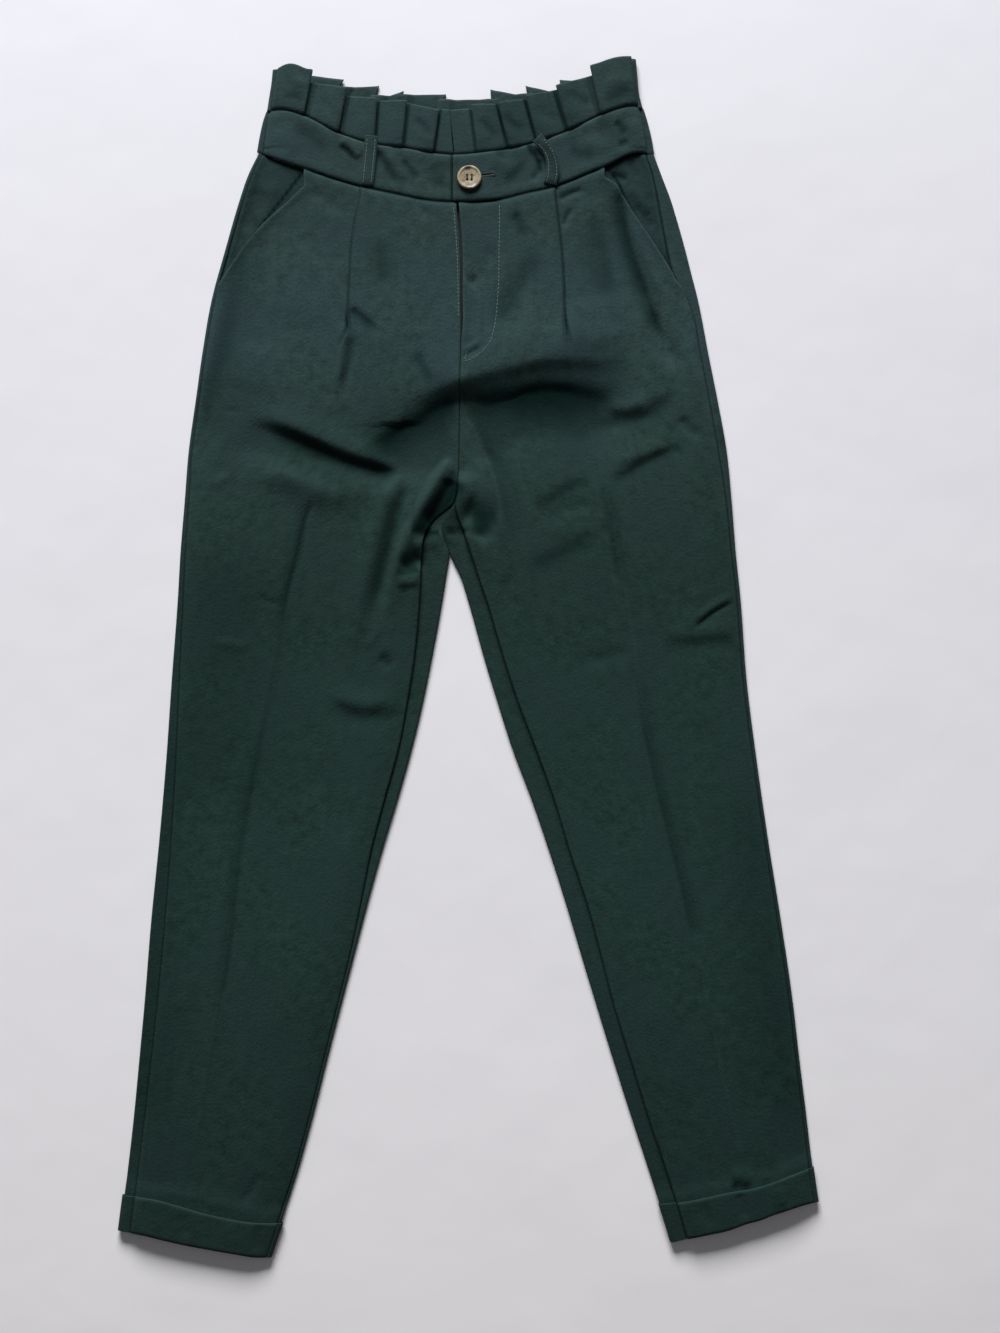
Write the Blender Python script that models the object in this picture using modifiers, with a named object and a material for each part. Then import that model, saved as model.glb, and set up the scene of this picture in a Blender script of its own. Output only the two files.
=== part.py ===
"""Paperbag waist trousers, laid flat with the front upwards.

Every cut and sewn piece is one solid. x runs across the garment (the wearer's
right leg is on -x), y runs from the hems (-y) to the waist (+y), z is up, and
the back lies on z = 0. The origin is the middle of the garment's box, at its
underside. Tables are in millimetres and are turned into metres at the end.
"""
import math

import bmesh
import bpy
import numpy as np

# ---------------------------------------------------------------- dimensions
MM = 0.001
CLOTH = 1.0            # wall of a single panel
BAND = 1.4             # waistband, cloth and its facing
SEAM = 0.3             # clear gap between two pieces at a seam
LIFT = 1.4             # mid to mid distance of two layers lying on each other
FLOOR = CLOTH / 2      # mid-surface of the back where it lies
EDGE_RISE = 2.6        # mid to mid height of the flattened tube at its edges
EDGE_RUN = 34.0        # width over which the front rises from an edge
PLEAT_PITCH = 1.6      # layer to layer in the frill's knife pleats
PLEAT_UNDER = 5.6      # how far a frill pleat is folded back
BUTTON_D = 20.6
BUTTON_T = 3.6
BUTTON_AT = (0.4, 406.7)
LOOP_W = 10.8
LOOP_T = 1.2
CUFF_OVER = 31.0       # depth of the turn-up
FACING_UNDER = 14.0    # how far a pocket's back runs in under its opening
SHIFT = (0.69, 0.13)   # puts the middle of the garment's box on the origin


def table(columns, rows):
    """Rows of numbers as named columns."""
    values = np.array(rows, dtype=float)
    return {name: values[:, i] for i, name in enumerate(columns.split())}


def smooth(tab, key, column, at):
    """A smooth curve through a table's rows, held flat past its ends."""
    x, y = tab[key], tab[column]
    if x[0] > x[-1]:
        x, y = x[::-1], y[::-1]
    at = np.clip(np.asarray(at, dtype=float), x[0], x[-1])
    slope = np.gradient(y, x)
    i = np.clip(np.searchsorted(x, at, side="right") - 1, 0, len(x) - 2)
    h = x[i + 1] - x[i]
    t = (at - x[i]) / h
    return ((2 * t**3 - 3 * t**2 + 1) * y[i] + (t**3 - 2 * t**2 + t) * h * slope[i]
            + (3 * t**2 - 2 * t**3) * y[i + 1] + (t**3 - t**2) * h * slope[i + 1])


def ease(t):
    t = np.clip(t, 0.0, 1.0)
    return t * t * (3 - 2 * t)


# The outer edge of each leg, and how far in from it the side seam lies on top.
OUTER_R = table("y edge strip", [
    (438.0, -175.5, 3.2), (410.1, -187.4, 3.0), (388.9, -194.7, 3.0),
    (346.4, -207.4, 2.8), (303.9, -219.3, 2.8), (261.4, -226.9, 2.8),
    (218.9, -232.9, 2.8), (176.4, -238.8, 3.0), (133.9, -242.2, 3.6),
    (91.4, -245.7, 4.2), (48.9, -248.2, 4.7), (-19.1, -253.3, 6.4),
    (-87.1, -258.0, 8.1), (-155.1, -263.9, 10.2), (-227.4, -271.1, 11.9),
    (-291.1, -276.2, 11.0), (-342.1, -280.9, 10.2), (-393.1, -285.8, 9.3),
    (-435.6, -290.7, 8.9), (-490.9, -297.5, 8.9),
])
OUTER_L = table("y edge strip", [
    (438.0, 153.0, 6.8), (410.1, 163.6, 7.2), (388.9, 171.7, 11.0),
    (375.3, 175.9, 12.8), (340.4, 185.7, 15.7), (326.8, 189.1, 15.3),
    (309.0, 193.8, 10.0), (295.4, 196.8, 7.2), (261.4, 203.2, 6.8),
    (218.9, 211.7, 7.2), (176.4, 219.3, 7.2), (133.9, 223.5, 4.7),
    (91.4, 226.9, 3.6), (48.9, 231.2, 3.0), (-19.1, 236.3, 2.8),
    (-87.1, 244.8, 2.8), (-155.1, 254.6, 2.8), (-227.4, 266.1, 2.8),
    (-291.1, 275.4, 2.8), (-342.1, 281.3, 2.8), (-393.1, 287.6, 2.8),
    (-433.9, 292.4, 2.8), (-465.4, 296.8, 2.8),
])
# The inner edge: the centre line down to the crotch, then the inside leg, and
# where the inseam (or the centre seam) lies on top.
INNER_R = table("y edge seam", [
    (142.4, -10.4, -10.4), (129.6, -14.0, -14.3), (122.8, -19.3, -24.4),
    (115.2, -24.0, -31.4), (106.7, -23.6, -36.5), (98.2, -21.3, -39.1),
    (88.8, -18.0, -40.1), (70.1, -19.6, -41.2), (48.9, -22.9, -42.2),
    (6.4, -30.6, -45.9), (-36.1, -39.1, -52.3), (-78.6, -49.3, -60.4),
    (-121.1, -61.2, -72.2), (-163.6, -74.0, -83.3), (-206.1, -85.8, -91.8),
    (-248.6, -96.9, -100.7), (-291.1, -108.0, -111.0), (-342.1, -121.1, -124.0),
    (-393.1, -133.9, -136.8), (-435.6, -145.8, -148.6), (-479.8, -160.2, -163.0),
    (-510.4, -170.0, -172.8),
])
INNER_L = table("y edge seam", [
    (142.4, -9.6, -9.6), (129.6, -13.1, -12.6), (122.8, -17.5, -11.0),
    (115.2, -22.2, -8.1), (106.7, -21.7, -4.7), (98.2, -19.7, -1.7),
    (88.8, -16.4, 1.7), (70.1, -7.6, 7.6), (48.9, -0.8, 14.9),
    (6.4, 11.0, 27.6), (-36.1, 23.8, 41.2), (-78.6, 37.4, 57.4),
    (-121.1, 53.5, 72.7), (-163.6, 68.0, 85.4), (-206.1, 81.6, 99.5),
    (-248.6, 94.3, 111.3), (-291.1, 107.1, 122.0), (-342.1, 122.8, 137.7),
    (-393.1, 139.0, 153.4), (-436.5, 153.4, 168.3), (-497.7, 173.4, 186.6),
])
# The front edges from the waist seam down to the crotch: the fly stands open a
# little at its top, then the two fronts are sewn together.
CENTRE = table("y right left", [
    (387.2, -11.0, -8.9), (373.6, -10.2, -7.3), (357.4, -8.8, -5.7),
    (341.3, -8.0, -5.1), (303.9, -7.5, -5.1), (278.4, -7.3, -5.3),
    (268.2, -7.4, -6.6), (250.3, -7.6, -7.1), (218.9, -8.3, -7.9),
    (184.9, -8.8, -8.4), (159.4, -9.3, -8.9), (142.4, -10.2, -9.8),
])
# The forward pleats: the centre part lies over the outer part.
PLEAT_R = table("y x depth rise", [
    (401.0, -93.9, 16.0, 1.0), (374.4, -99.5, 14.0, 1.0), (325.1, -103.3, 9.0, 1.0),
    (296.0, -104.4, 4.0, 1.0), (277.0, -105.0, 0.0, 0.9), (260.0, -106.8, -3.0, 0.6),
    (205.0, -115.0, -9.0, 0.12),
])
PLEAT_L = table("y x depth rise", [
    (401.0, 74.2, 15.0, 1.0), (372.7, 77.6, 13.0, 1.0), (322.6, 81.4, 8.0, 1.0),
    (296.0, 81.7, 4.0, 1.0), (277.0, 82.0, 0.0, 0.9), (260.0, 84.0, -3.0, 0.6),
    (205.0, 96.0, -9.0, 0.12),
])
# The seam under the waistband and the seam on top of it, front and back.
WAIST = table("x y", [
    (-190.0, 434.2), (-177.2, 429.2), (-157.2, 420.8), (-132.6, 413.0),
    (-113.0, 406.4), (-93.9, 400.8), (-62.0, 393.7), (-34.9, 388.4),
    (-10.2, 386.8), (9.3, 387.4), (27.2, 389.2), (49.3, 394.6), (69.7, 399.1),
    (80.8, 403.0), (100.3, 411.0), (120.7, 419.1), (136.0, 427.1),
    (145.3, 429.2), (157.2, 428.5), (170.0, 427.6),
])
BAND_TOP = table("x y", [
    (-185.0, 463.2), (-171.7, 465.4), (-157.2, 465.4), (-138.5, 459.4),
    (-113.0, 446.2), (-91.0, 438.2), (-77.3, 435.4), (-52.7, 432.2),
    (-30.6, 428.4), (-11.0, 426.7), (7.2, 428.0), (27.2, 430.8), (49.3, 435.3),
    (65.0, 440.0), (84.1, 447.0), (111.0, 460.0), (130.0, 467.3),
    (138.5, 469.4), (153.8, 467.9), (160.0, 467.4),
])
WAIST_BACK = table("x y", [
    (-190.0, 434.2), (-177.2, 429.4), (-143.7, 417.8), (-101.1, 407.6),
    (-58.6, 400.8), (-11.0, 398.2), (34.9, 400.8), (77.3, 407.6),
    (119.8, 418.6), (152.0, 428.6), (170.0, 428.6),
])
BAND_TOP_BACK = table("x y", [
    (-185.0, 463.6), (-171.7, 465.2), (-139.4, 457.0), (-101.1, 447.2),
    (-58.6, 440.4), (-11.0, 437.9), (34.9, 440.4), (73.1, 447.2),
    (115.6, 459.0), (147.9, 467.8), (160.0, 467.4),
])
# The sides of the band and the frill.
SIDES = table("y right left", [
    (504.5, -167.0, 141.8), (490.9, -168.3, 143.2), (477.3, -170.4, 144.6),
    (465.4, -172.4, 148.0), (456.9, -175.3, 151.0), (443.3, -178.4, 154.9),
    (429.7, -180.6, 157.6), (424.0, -181.5, 158.6),
])
# The turn-ups: their foot, and their free upper edge.
FOOT_R = table("x y", [
    (-300.1, -487.5), (-288.6, -489.2), (-275.9, -491.2), (-261.2, -494.7),
    (-246.5, -498.1), (-222.2, -502.8), (-198.0, -507.0), (-180.0, -510.2),
    (-168.0, -510.6),
])
FOOT_L = table("x y", [
    (172.0, -498.0), (186.2, -494.3), (198.9, -491.4), (221.3, -486.4),
    (236.0, -481.0), (245.3, -478.6), (259.1, -473.4), (272.8, -469.0),
    (282.2, -466.2), (299.5, -462.9),
])
TURNUP_R = table("x y", [
    (-298.0, -457.6), (-284.8, -458.4), (-266.1, -460.6), (-246.5, -465.9),
    (-227.1, -471.6), (-207.6, -476.2), (-188.0, -479.6), (-160.2, -481.6),
])
TURNUP_L = table("x y", [
    (160.0, -465.6), (178.0, -463.3), (199.2, -459.2), (213.0, -456.0),
    (226.9, -453.4), (240.5, -451.2), (259.1, -445.6), (272.8, -440.2),
    (294.0, -433.6),
])
# The slanted pocket openings.
POCKET_R = table("y x", [
    (414.8, -140.2), (397.4, -153.4), (376.1, -170.0), (354.9, -186.2),
    (333.6, -201.9), (318.0, -212.4),
])
POCKET_L = table("y x", [
    (419.0, 115.0), (408.4, 124.5), (396.5, 130.0), (374.8, 140.8),
    (351.0, 157.1), (331.5, 170.0), (318.5, 177.0),
])
# How high the front stands over its edges, at each height on the garment.
CROWN = table("y rise", [
    (470.0, 6.8), (430.0, 6.4), (380.0, 6.2), (300.0, 6.2), (200.0, 6.0),
    (100.0, 5.4), (0.0, 5.0), (-150.0, 4.8), (-300.0, 4.8), (-520.0, 4.6),
])
# The largest folds: a line, its half width and its depth (a ridge is negative).
FOLDS = {
    "right thigh trough": (18.0, 2.0, [(-186, 203), (-141, 187), (-106, 170), (-63, 160)]),
    "right crotch rise": (16.0, 1.7, [(-88, 185), (-50, 205), (-14, 222)]),
    "right thigh ridge": (18.0, -1.0, [(-168, 168), (-140, 150), (-108, 134)]),
    "right hip hollow": (16.0, 1.3, [(-222, 395), (-232, 330), (-222, 268)]),
    "left thigh trough": (17.0, 2.1, [(0, 218), (42, 230), (74, 237), (120, 224)]),
    "left second trough": (16.0, 1.3, [(30, 205), (78, 196), (130, 202), (168, 190)]),
    "left hip fold": (15.0, 1.4, [(132, 372), (146, 325), (163, 283), (184, 248)]),
    "left crotch fold": (14.0, 1.2, [(6, 190), (22, 150), (33, 112)]),
    "right crotch fold": (14.0, 1.5, [(-14, 176), (-34, 140), (-52, 105), (-66, 60)]),
}

# The frill: each pleat's fold edge at the foot and at the top, and the height
# of the cloth at the panel's start and at its fold, from the side to the centre.
FRILL_R = table("foot top start end", [
    (-139.4, -131.8, 500.6, 498.5), (-110.1, -102.9, 488.5, 483.2),
    (-79.9, -77.4, 477.3, 474.1), (-56.1, -52.3, 473.0, 472.2),
    (-29.8, -24.7, 472.6, 463.7), (-13.2, -16.8, 465.9, 465.2),
])
FRILL_L = table("foot top start end", [
    (111.4, 102.0, 509.6, 501.9), (84.1, 73.0, 495.1, 484.9),
    (57.8, 47.6, 483.0, 476.4), (34.0, 23.8, 475.6, 470.5),
    (6.8, 1.7, 470.5, 468.8), (-12.2, -15.9, 466.4, 464.8),
])
FRILL_BACK = table("foot top start end", [
    (-132.0, -107.0, 493.0, 486.5), (-88.0, -77.0, 487.8, 479.2),
    (-62.0, -56.0, 483.2, 480.0), (-22.0, -20.0, 480.6, 475.8),
    (22.0, 18.5, 476.0, 484.6), (58.0, 48.5, 480.6, 487.8),
    (86.0, 77.5, 483.0, 493.0), (118.0, 103.0, 492.0, 496.0),
])

# ------------------------------------------------------------------- surfaces


def line_distance(x, y, points):
    """Distance to a line, and how far along it the nearest point is."""
    best = np.full(np.broadcast(x, y).shape, 1e9)
    along = np.zeros_like(best)
    total = len(points) - 1
    for i, ((ax, ay), (bx, by)) in enumerate(zip(points, points[1:])):
        dx, dy = bx - ax, by - ay
        t = np.clip(((x - ax) * dx + (y - ay) * dy) / (dx * dx + dy * dy), 0, 1)
        d = np.hypot(x - ax - t * dx, y - ay - t * dy)
        nearer = d < best
        best = np.where(nearer, d, best)
        along = np.where(nearer, (i + t) / total, along)
    return best, along


def folds(x, y):
    z = np.zeros(np.broadcast(x, y).shape)
    for width, depth, points in FOLDS.values():
        d, s = line_distance(x, y, points)
        z -= depth * np.exp(-((d / width) ** 2)) * np.sin(np.pi * (0.1 + 0.8 * s))
    return z


def edges(side, y):
    """Outer and inner edge of one leg, as the wearer's right or left."""
    if side == "right":
        return smooth(OUTER_R, "y", "edge", y), smooth(INNER_R, "y", "edge", y)
    return smooth(OUTER_L, "y", "edge", y), smooth(INNER_L, "y", "edge", y)


def dome(t):
    return 1 - (1 - np.clip(t, 0, 1)) ** 2.2


def top(side, x, y):
    """Mid-surface of the front where it lies on the hollow."""
    outer, inner = edges(side, y)
    band_side = smooth(SIDES, "y", "right" if side == "right" else "left", y)
    outer = np.where(y > 434.0, band_side, outer)
    rise = smooth(CROWN, "y", "rise", y)
    split = ease((205.0 - y) / 80.0)
    f_out = dome(np.abs(x - outer) / EDGE_RUN)
    f_in = dome(np.abs(x - inner) / EDGE_RUN)
    lift = rise * f_out * (1 - split * (1 - f_in))
    crotch = 0.9 * np.exp(-((y - 140.0) / 16.0) ** 2 - ((x + 12.0) / 14.0) ** 2)
    return FLOOR + EDGE_RISE + lift + crotch + folds(x, y) * f_out * f_out + over_turnup(side, x, y)


def over_turnup(side, x, y):
    """How far the leg is lifted by the turn-up that it lies on at the hem."""
    edge = smooth(TURNUP_R if side == "right" else TURNUP_L, "x", "y", x)
    return (LIFT - 0.05) * ease((edge + 16.0 - y) / 13.0)


# --------------------------------------------------------------------- making
parts = bpy.data.collections.new("paperbag_trousers")
cutters = bpy.data.collections.new("cutters")


def material(name, colour, rough, metal=0.0):
    mat = bpy.data.materials.new(name)
    mat.use_nodes = True
    shader = mat.node_tree.nodes["Principled BSDF"]
    shader.inputs["Base Color"].default_value = (*colour, 1.0)
    shader.inputs["Roughness"].default_value = rough
    shader.inputs["Metallic"].default_value = metal
    return mat


def grid_piece(name, points, thickness, colour, rough=0.9):
    """One cloth piece: a grid of mid-surface points, given its wall."""
    rows, cols = points.shape[:2]
    points = points + np.array((*SHIFT, 0.0))
    bm = bmesh.new()
    verts = [[bm.verts.new(tuple(points[j, i] * MM)) for i in range(cols)] for j in range(rows)]
    for j in range(rows - 1):
        for i in range(cols - 1):
            bm.faces.new((verts[j][i], verts[j][i + 1], verts[j + 1][i + 1], verts[j + 1][i]))
    bmesh.ops.recalc_face_normals(bm, faces=bm.faces)
    mesh = bpy.data.meshes.new(name)
    bm.to_mesh(mesh)
    bm.free()
    obj = bpy.data.objects.new(name, mesh)
    parts.objects.link(obj)
    wall = obj.modifiers.new("wall", "SOLIDIFY")
    wall.thickness = thickness * MM
    wall.offset = 0.0
    wall.use_even_offset = False
    wall.thickness_clamp = 0.0
    mesh.materials.append(material(name + "_cloth", colour, rough))
    mesh.shade_smooth()
    return obj


def resample(path, count):
    """Points evenly spaced along a polyline of (x, z) points."""
    steps = np.r_[0, np.cumsum(np.hypot(*np.diff(path, axis=0).T))]
    at = np.linspace(0, steps[-1], count)
    return np.c_[np.interp(at, steps, path[:, 0]), np.interp(at, steps, path[:, 1])]


def rows_between(tops, feet, stops):
    """Row positions from a list of fractions."""
    stops = np.asarray(stops)[:, None]
    return tops * (1 - stops) + feet * stops


GREEN = (0.026, 0.052, 0.050)
GREEN_DARK = (0.018, 0.038, 0.036)
SIGN = {"right": -1.0, "left": 1.0}


# Rows: fractions of the way from the waist seam to the crotch, then to the hem.
HIP_ROWS = (0, 0.06, 0.13, 0.2, 0.27, 0.34, 0.41, 0.47, 0.53, 0.6, 0.68, 0.76, 0.84, 0.92, 1.0)
LEG_ROWS = (0.035, 0.075, 0.13, 0.21, 0.31, 0.43, 0.56, 0.69, 0.81, 0.912, 0.945, 1.0)
ROW_ENDS = {"right": ((430.0, 130.0, -486.5), (386.6, 128.0, -508.6)),
            "left": ((427.0, 130.0, -462.4), (386.6, 128.0, -495.4))}


def leg_rows(side):
    """Heights of the rows at the outer and at the inner edge of one leg."""
    both = []
    for waist, crotch, hem in ROW_ENDS[side]:
        hip = waist + (crotch - waist) * np.array(HIP_ROWS)
        leg = crotch + (hem - crotch) * np.array(LEG_ROWS)
        both.append(np.r_[hip, leg])
    return both


def row_height(side, x, j, y_outer, y_inner, x_out, x_in, front):
    """Height of row j at x: straight across the leg, but following the waist
    seam at the first rows and the hem at the last."""
    t = (x - x_out) / (x_in - x_out)
    v = (y_outer[0] - y_outer[j]) / (y_outer[0] - y_outer[-1])
    first = y_outer[0] + (y_inner[0] - y_outer[0]) * t
    last = y_outer[-1] + (y_inner[-1] - y_outer[-1]) * t
    waist = smooth(WAIST if front else WAIST_BACK, "x", "y", x) - SEAM
    foot = smooth(FOOT_R if side == "right" else FOOT_L, "x", "y", x) + 1.2
    y = y_outer[j] + (y_inner[j] - y_outer[j]) * t
    return y + (waist - first) * ease(1 - v / 0.2) + (foot - last) * ease((v - 0.88) / 0.12)


def front_panel(side):
    s = SIGN[side]
    y_outer, y_inner = leg_rows(side)
    pleat = PLEAT_R if side == "right" else PLEAT_L
    pocket = POCKET_R if side == "right" else POCKET_L
    outer_tab = OUTER_R if side == "right" else OUTER_L
    inner_tab = INNER_R if side == "right" else INNER_L
    n_out, n_in = 6, 6
    rows = []
    total = y_outer[0] - y_outer[-1]
    for j, (y_o, y_i) in enumerate(zip(y_outer, y_inner)):
        v = (y_outer[0] - y_o) / total
        # a slanted pocket cuts the panel's outer corner off
        seam_x = smooth(outer_tab, "y", "edge", y_o) - s * (smooth(outer_tab, "y", "strip", y_o) + SEAM)
        if y_o > 318.0:
            cut = smooth(pocket, "y", "x", y_o)
            seam_x = min(abs(seam_x), abs(cut)) * s
        if y_i > 142.0:
            in_x = smooth(CENTRE, "y", side, y_i)
        else:
            in_x = smooth(inner_tab, "y", "seam", y_i) + s * (SEAM + 0.5 * (y_i > 100))
        if v < 0.02:
            seam_x = s * abs(smooth(pocket, "y", "x", 420.0))
        y_mid = (y_o + y_i) / 2
        x_p = smooth(pleat, "y", "x", y_mid)
        depth = smooth(pleat, "y", "depth", y_mid)
        depth = 0.0 if abs(depth) < 1.5 else depth
        rise = smooth(pleat, "y", "rise", y_mid)
        if y_mid < 205:
            middle = in_x + (seam_x - in_x) * 0.52
            x_p += (middle - x_p) * ease((205 - y_mid) / 120)
            rise *= ease((y_mid - 120) / 85)
        lift = LIFT * 2 * rise
        a = np.linspace(seam_x, x_p - s * depth, n_out)
        b = np.linspace(x_p, in_x, n_in + 1)
        if depth > 0:
            open_up = 0.16 * ease(1 - depth / 4.0)
            fold_x = [x_p - s * depth, x_p]
            fold_z = [0.5 - open_up, 0.5 + open_up]
        else:
            fold_x = []
            fold_z = []
            steps = np.linspace(0, 1, 4)[1:-1]
            fold_x = [x_p - s * depth * (1 - q) for q in steps]
            fold_z = list(steps)
        xs = np.r_[a, fold_x, b]
        up = np.r_[np.zeros(n_out), fold_z, np.ones(n_in + 1)]
        # the lifted centre part comes down again away from the pleat
        back = np.r_[np.ones(n_out + 2), 1 - 0.55 * ease(np.linspace(0, 1.2, n_in + 1))]
        ys = row_height(side, xs, j, y_outer, y_inner, seam_x, in_x, True)
        z = top(side, xs, ys) + lift * up * back
        rows.append(np.c_[xs, ys, z])
    return grid_piece(f"front_panel_{side}", np.array(rows), CLOTH, GREEN)


def back_panel(side):
    s = SIGN[side]
    y_outer, y_inner = leg_rows(side)
    outer_tab = OUTER_R if side == "right" else OUTER_L
    inner_tab = INNER_R if side == "right" else INNER_L
    rows = []
    total = y_outer[0] - y_outer[-1]
    for j, (y_o, y_i) in enumerate(zip(y_outer, y_inner)):
        v = (y_outer[0] - y_o) / total
        x_e = smooth(outer_tab, "y", "edge", y_o)
        strip_o = smooth(outer_tab, "y", "strip", y_o)
        z0 = FLOOR
        r_o = EDGE_RISE / 2
        out_arc = [(x_e - s * strip_o, z0 + 2 * r_o)]
        for k in range(5):
            angle = math.pi * (0.5 - k / 4)
            out_arc.append((x_e - s * r_o + s * r_o * math.cos(angle), z0 + r_o + r_o * math.sin(angle)))
        x_i = smooth(inner_tab, "y", "edge", y_i)
        seam_i = smooth(inner_tab, "y", "seam", y_i)
        turn = math.pi * float(ease((216.0 - y_i) / 88.0))
        strip_i = abs(seam_i - x_i)
        r_i = r_o
        reach = max(strip_i - r_i, 0.6) if turn > 3.0 else 0.6
        centre = x_i + s * (SEAM / 2 + r_i * math.sin(min(turn, math.pi / 2)) + 0.6 * max(math.cos(turn), 0))
        run = [out_arc[-1]]
        for k in range(17):
            angle = -math.pi / 2 + turn * k / 16
            run.append((centre - s * r_i * math.cos(angle), z0 + r_i + r_i * math.sin(angle)))
        run.append((run[-1][0] - s * reach * math.cos(turn), run[-1][1] + reach * math.sin(turn)))
        run = np.array(run)
        length = np.r_[0, np.cumsum(np.hypot(*np.diff(run, axis=0).T))]
        bend = max(r_i * turn, 3.0)
        start = length[-1] - reach - bend
        stops = np.r_[np.linspace(0, start, 5)[1:], start + bend * np.array((0.25, 0.5, 0.75, 1.0)), length[-1]]
        inner = np.c_[np.interp(stops, length, run[:, 0]), np.interp(stops, length, run[:, 1])]
        path = np.vstack([np.array(out_arc), inner])
        ys = row_height(side, path[:, 0], j, y_outer, y_inner, x_e, x_i, False)
        zs = path[:, 1] + over_turnup(side, path[:, 0], ys)
        rows.append(np.c_[path[:, 0], ys, zs])
    return grid_piece(f"back_panel_{side}", np.array(rows), CLOTH, GREEN_DARK)


def strip_ys(lower, upper, v):
    return lower + (upper - lower) * v


def pocket_bag(side):
    """The back of a pocket: it shows between the opening and the side seam, and
    hangs on inside the front as one plain layer."""
    s = SIGN[side]
    pocket = POCKET_R if side == "right" else POCKET_L
    outer_tab = OUTER_R if side == "right" else OUTER_L
    stops = (0, 0.08, 0.16, 0.25, 0.35, 0.46, 0.58, 0.72, 0.86, 1.0)
    depth = 178.0
    rows = []
    for v in stops:
        y = 428.0 - (428.0 - 318.0) * min(v / 0.58, 1.0) - (depth - 110.0) * max(v - 0.58, 0) / 0.42
        seam = smooth(outer_tab, "y", "edge", y) - s * (smooth(outer_tab, "y", "strip", y) + 3 * SEAM)
        if y < 318.0:
            seam -= s * (2.5 + 0.10 * (318.0 - y))
        inner = s * (abs(smooth(pocket, "y", "x", min(y, 419.0))) - FACING_UNDER)
        low = s * (104.0 + 10 * ease((y - 300) / 100) + 14 * ease((270 - y) / 30) + (12 if side == "left" else 0))
        inner = low if abs(inner) > abs(low) else inner
        xs = np.linspace(seam, inner, 7)
        waist = smooth(WAIST, "x", "y", xs) - SEAM
        ys = y + (waist - 428.0) * ease(1 - v / 0.45)
        reach = np.abs(xs - seam)
        under = np.maximum(ease(reach / 8.0), ease((352.0 - y) / 22.0))
        zs = top(side, xs, ys) - (LIFT + 0.8) * under
        rows.append(np.c_[xs, ys, zs])
    return grid_piece(f"pocket_bag_{side}", np.array(rows), CLOTH * 0.8, GREEN_DARK)


def band_front(side):
    """Front waistband: the left end lies over the right one at the centre."""
    s = SIGN[side]
    seam = {"right": -173.6, "left": 149.6}[side]
    end = {"right": 15.0, "left": -13.2}[side]
    stops = np.linspace(0, 1, 15)
    rows = []
    for v in (0, 0.33, 0.67, 1.0):
        side_x = {"right": -175.0 + 4.6 * v, "left": 151.4 - 6.4 * v}[side]
        xs = side_x + (end - side_x) * stops
        low = smooth(WAIST, "x", "y", xs) + SEAM
        high = smooth(BAND_TOP, "x", "y", xs) - SEAM
        ys = low + (high - low) * v
        zs = top(side, xs, ys) + 0.3
        if side == "left":
            zs += (BAND + 0.35) * ease((34.0 - xs) / 14.0)
        rows.append(np.c_[xs, ys, zs])
    return grid_piece(f"waistband_front_{side}", np.array(rows), BAND, GREEN)


def side_arc(edge, s, z_low, z_high, seam):
    """Path from the seam on top, round the side, to the floor."""
    r = (z_high - z_low) / 2
    wide = min(r, abs(edge - seam) - 0.5)
    path = [(seam, z_high)]
    for k in range(5):
        angle = math.pi * (0.5 - k / 4)
        path.append((edge - s * wide + s * wide * math.cos(angle), z_low + r + r * math.sin(angle)))
    return path


def band_back():
    rows = []
    for v in (0, 0.5, 1.0):
        y_side = 430.0 + 34.0 * v
        z_low, z_high = BAND / 2, FLOOR + EDGE_RISE + 0.5
        left = smooth(SIDES, "y", "left", y_side)
        right = smooth(SIDES, "y", "right", y_side)
        a = side_arc(left, 1.0, z_low, z_high, 152.2 - 6.4 * v)
        b = side_arc(right, -1.0, z_low, z_high, -175.8 + 4.6 * v)
        flat = [(x, z_low) for x in np.linspace(a[-1][0], b[-1][0], 12)[1:-1]]
        path = np.array(a + flat + b[::-1])
        low = smooth(WAIST_BACK, "x", "y", path[:, 0]) + SEAM
        high = smooth(BAND_TOP_BACK, "x", "y", path[:, 0]) - SEAM
        rows.append(np.c_[path[:, 0], low + (high - low) * v, path[:, 1]])
    return grid_piece("waistband_back", np.array(rows), BAND, GREEN_DARK)


def pleated(name, pleats, s, side_foot, side_top, y_side, base, foot_curve, last_under, start=None, outward=False):
    """A row of knife pleats. Each panel rises from under its neighbour to its
    own fold edge, turns back there and runs on underneath as the next one."""
    rows = []
    count = len(pleats["foot"])
    for v in (0.0, 0.5, 1.0):
        path = []
        foot_x, top_x = side_foot, side_top
        z_start = 1.0
        for k in range(count):
            f, t = pleats["foot"][k], pleats["top"][k]
            y_a = pleats["start"][k]
            y_b = pleats["end"][k]
            x0 = foot_x + (top_x - foot_x) * v
            x1 = f + (t - f) * v
            last = k == count - 1
            for q in (0.0, 0.25, 0.6, 1.0):
                x = x0 + (x1 - x0) * q
                y_top = y_side + (y_b - y_side) * q if k == 0 and start is None else y_a + (y_b - y_a) * q
                up = z_start + (1.0 - z_start) * ease((q - 0.22) / 0.44)
                if last:
                    up = z_start * (1 - q)
                path.append((x, y_top, up))
            if not last:
                n = pleats["foot"][k + 1], pleats["top"][k + 1]
                under = PLEAT_UNDER
                back = x1 - s * under
                y_n = pleats["start"][k + 1]
                path.append((x1, y_b, 0.5 + 0.03))
                path.append((back, y_n, 0.5 - 0.03))
                foot_x, top_x = f - s * under, t - s * under
                z_start = 0.0
        path = np.array(path)
        xs = path[:, 0]
        foot = smooth(foot_curve, "x", "y", xs) + SEAM
        ys = foot + (path[:, 1] - foot) * v
        zs = base(xs, ys) + path[:, 2] * 2 * PLEAT_PITCH
        rows.append(np.c_[xs, ys, zs])
    return np.array(rows)


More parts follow.
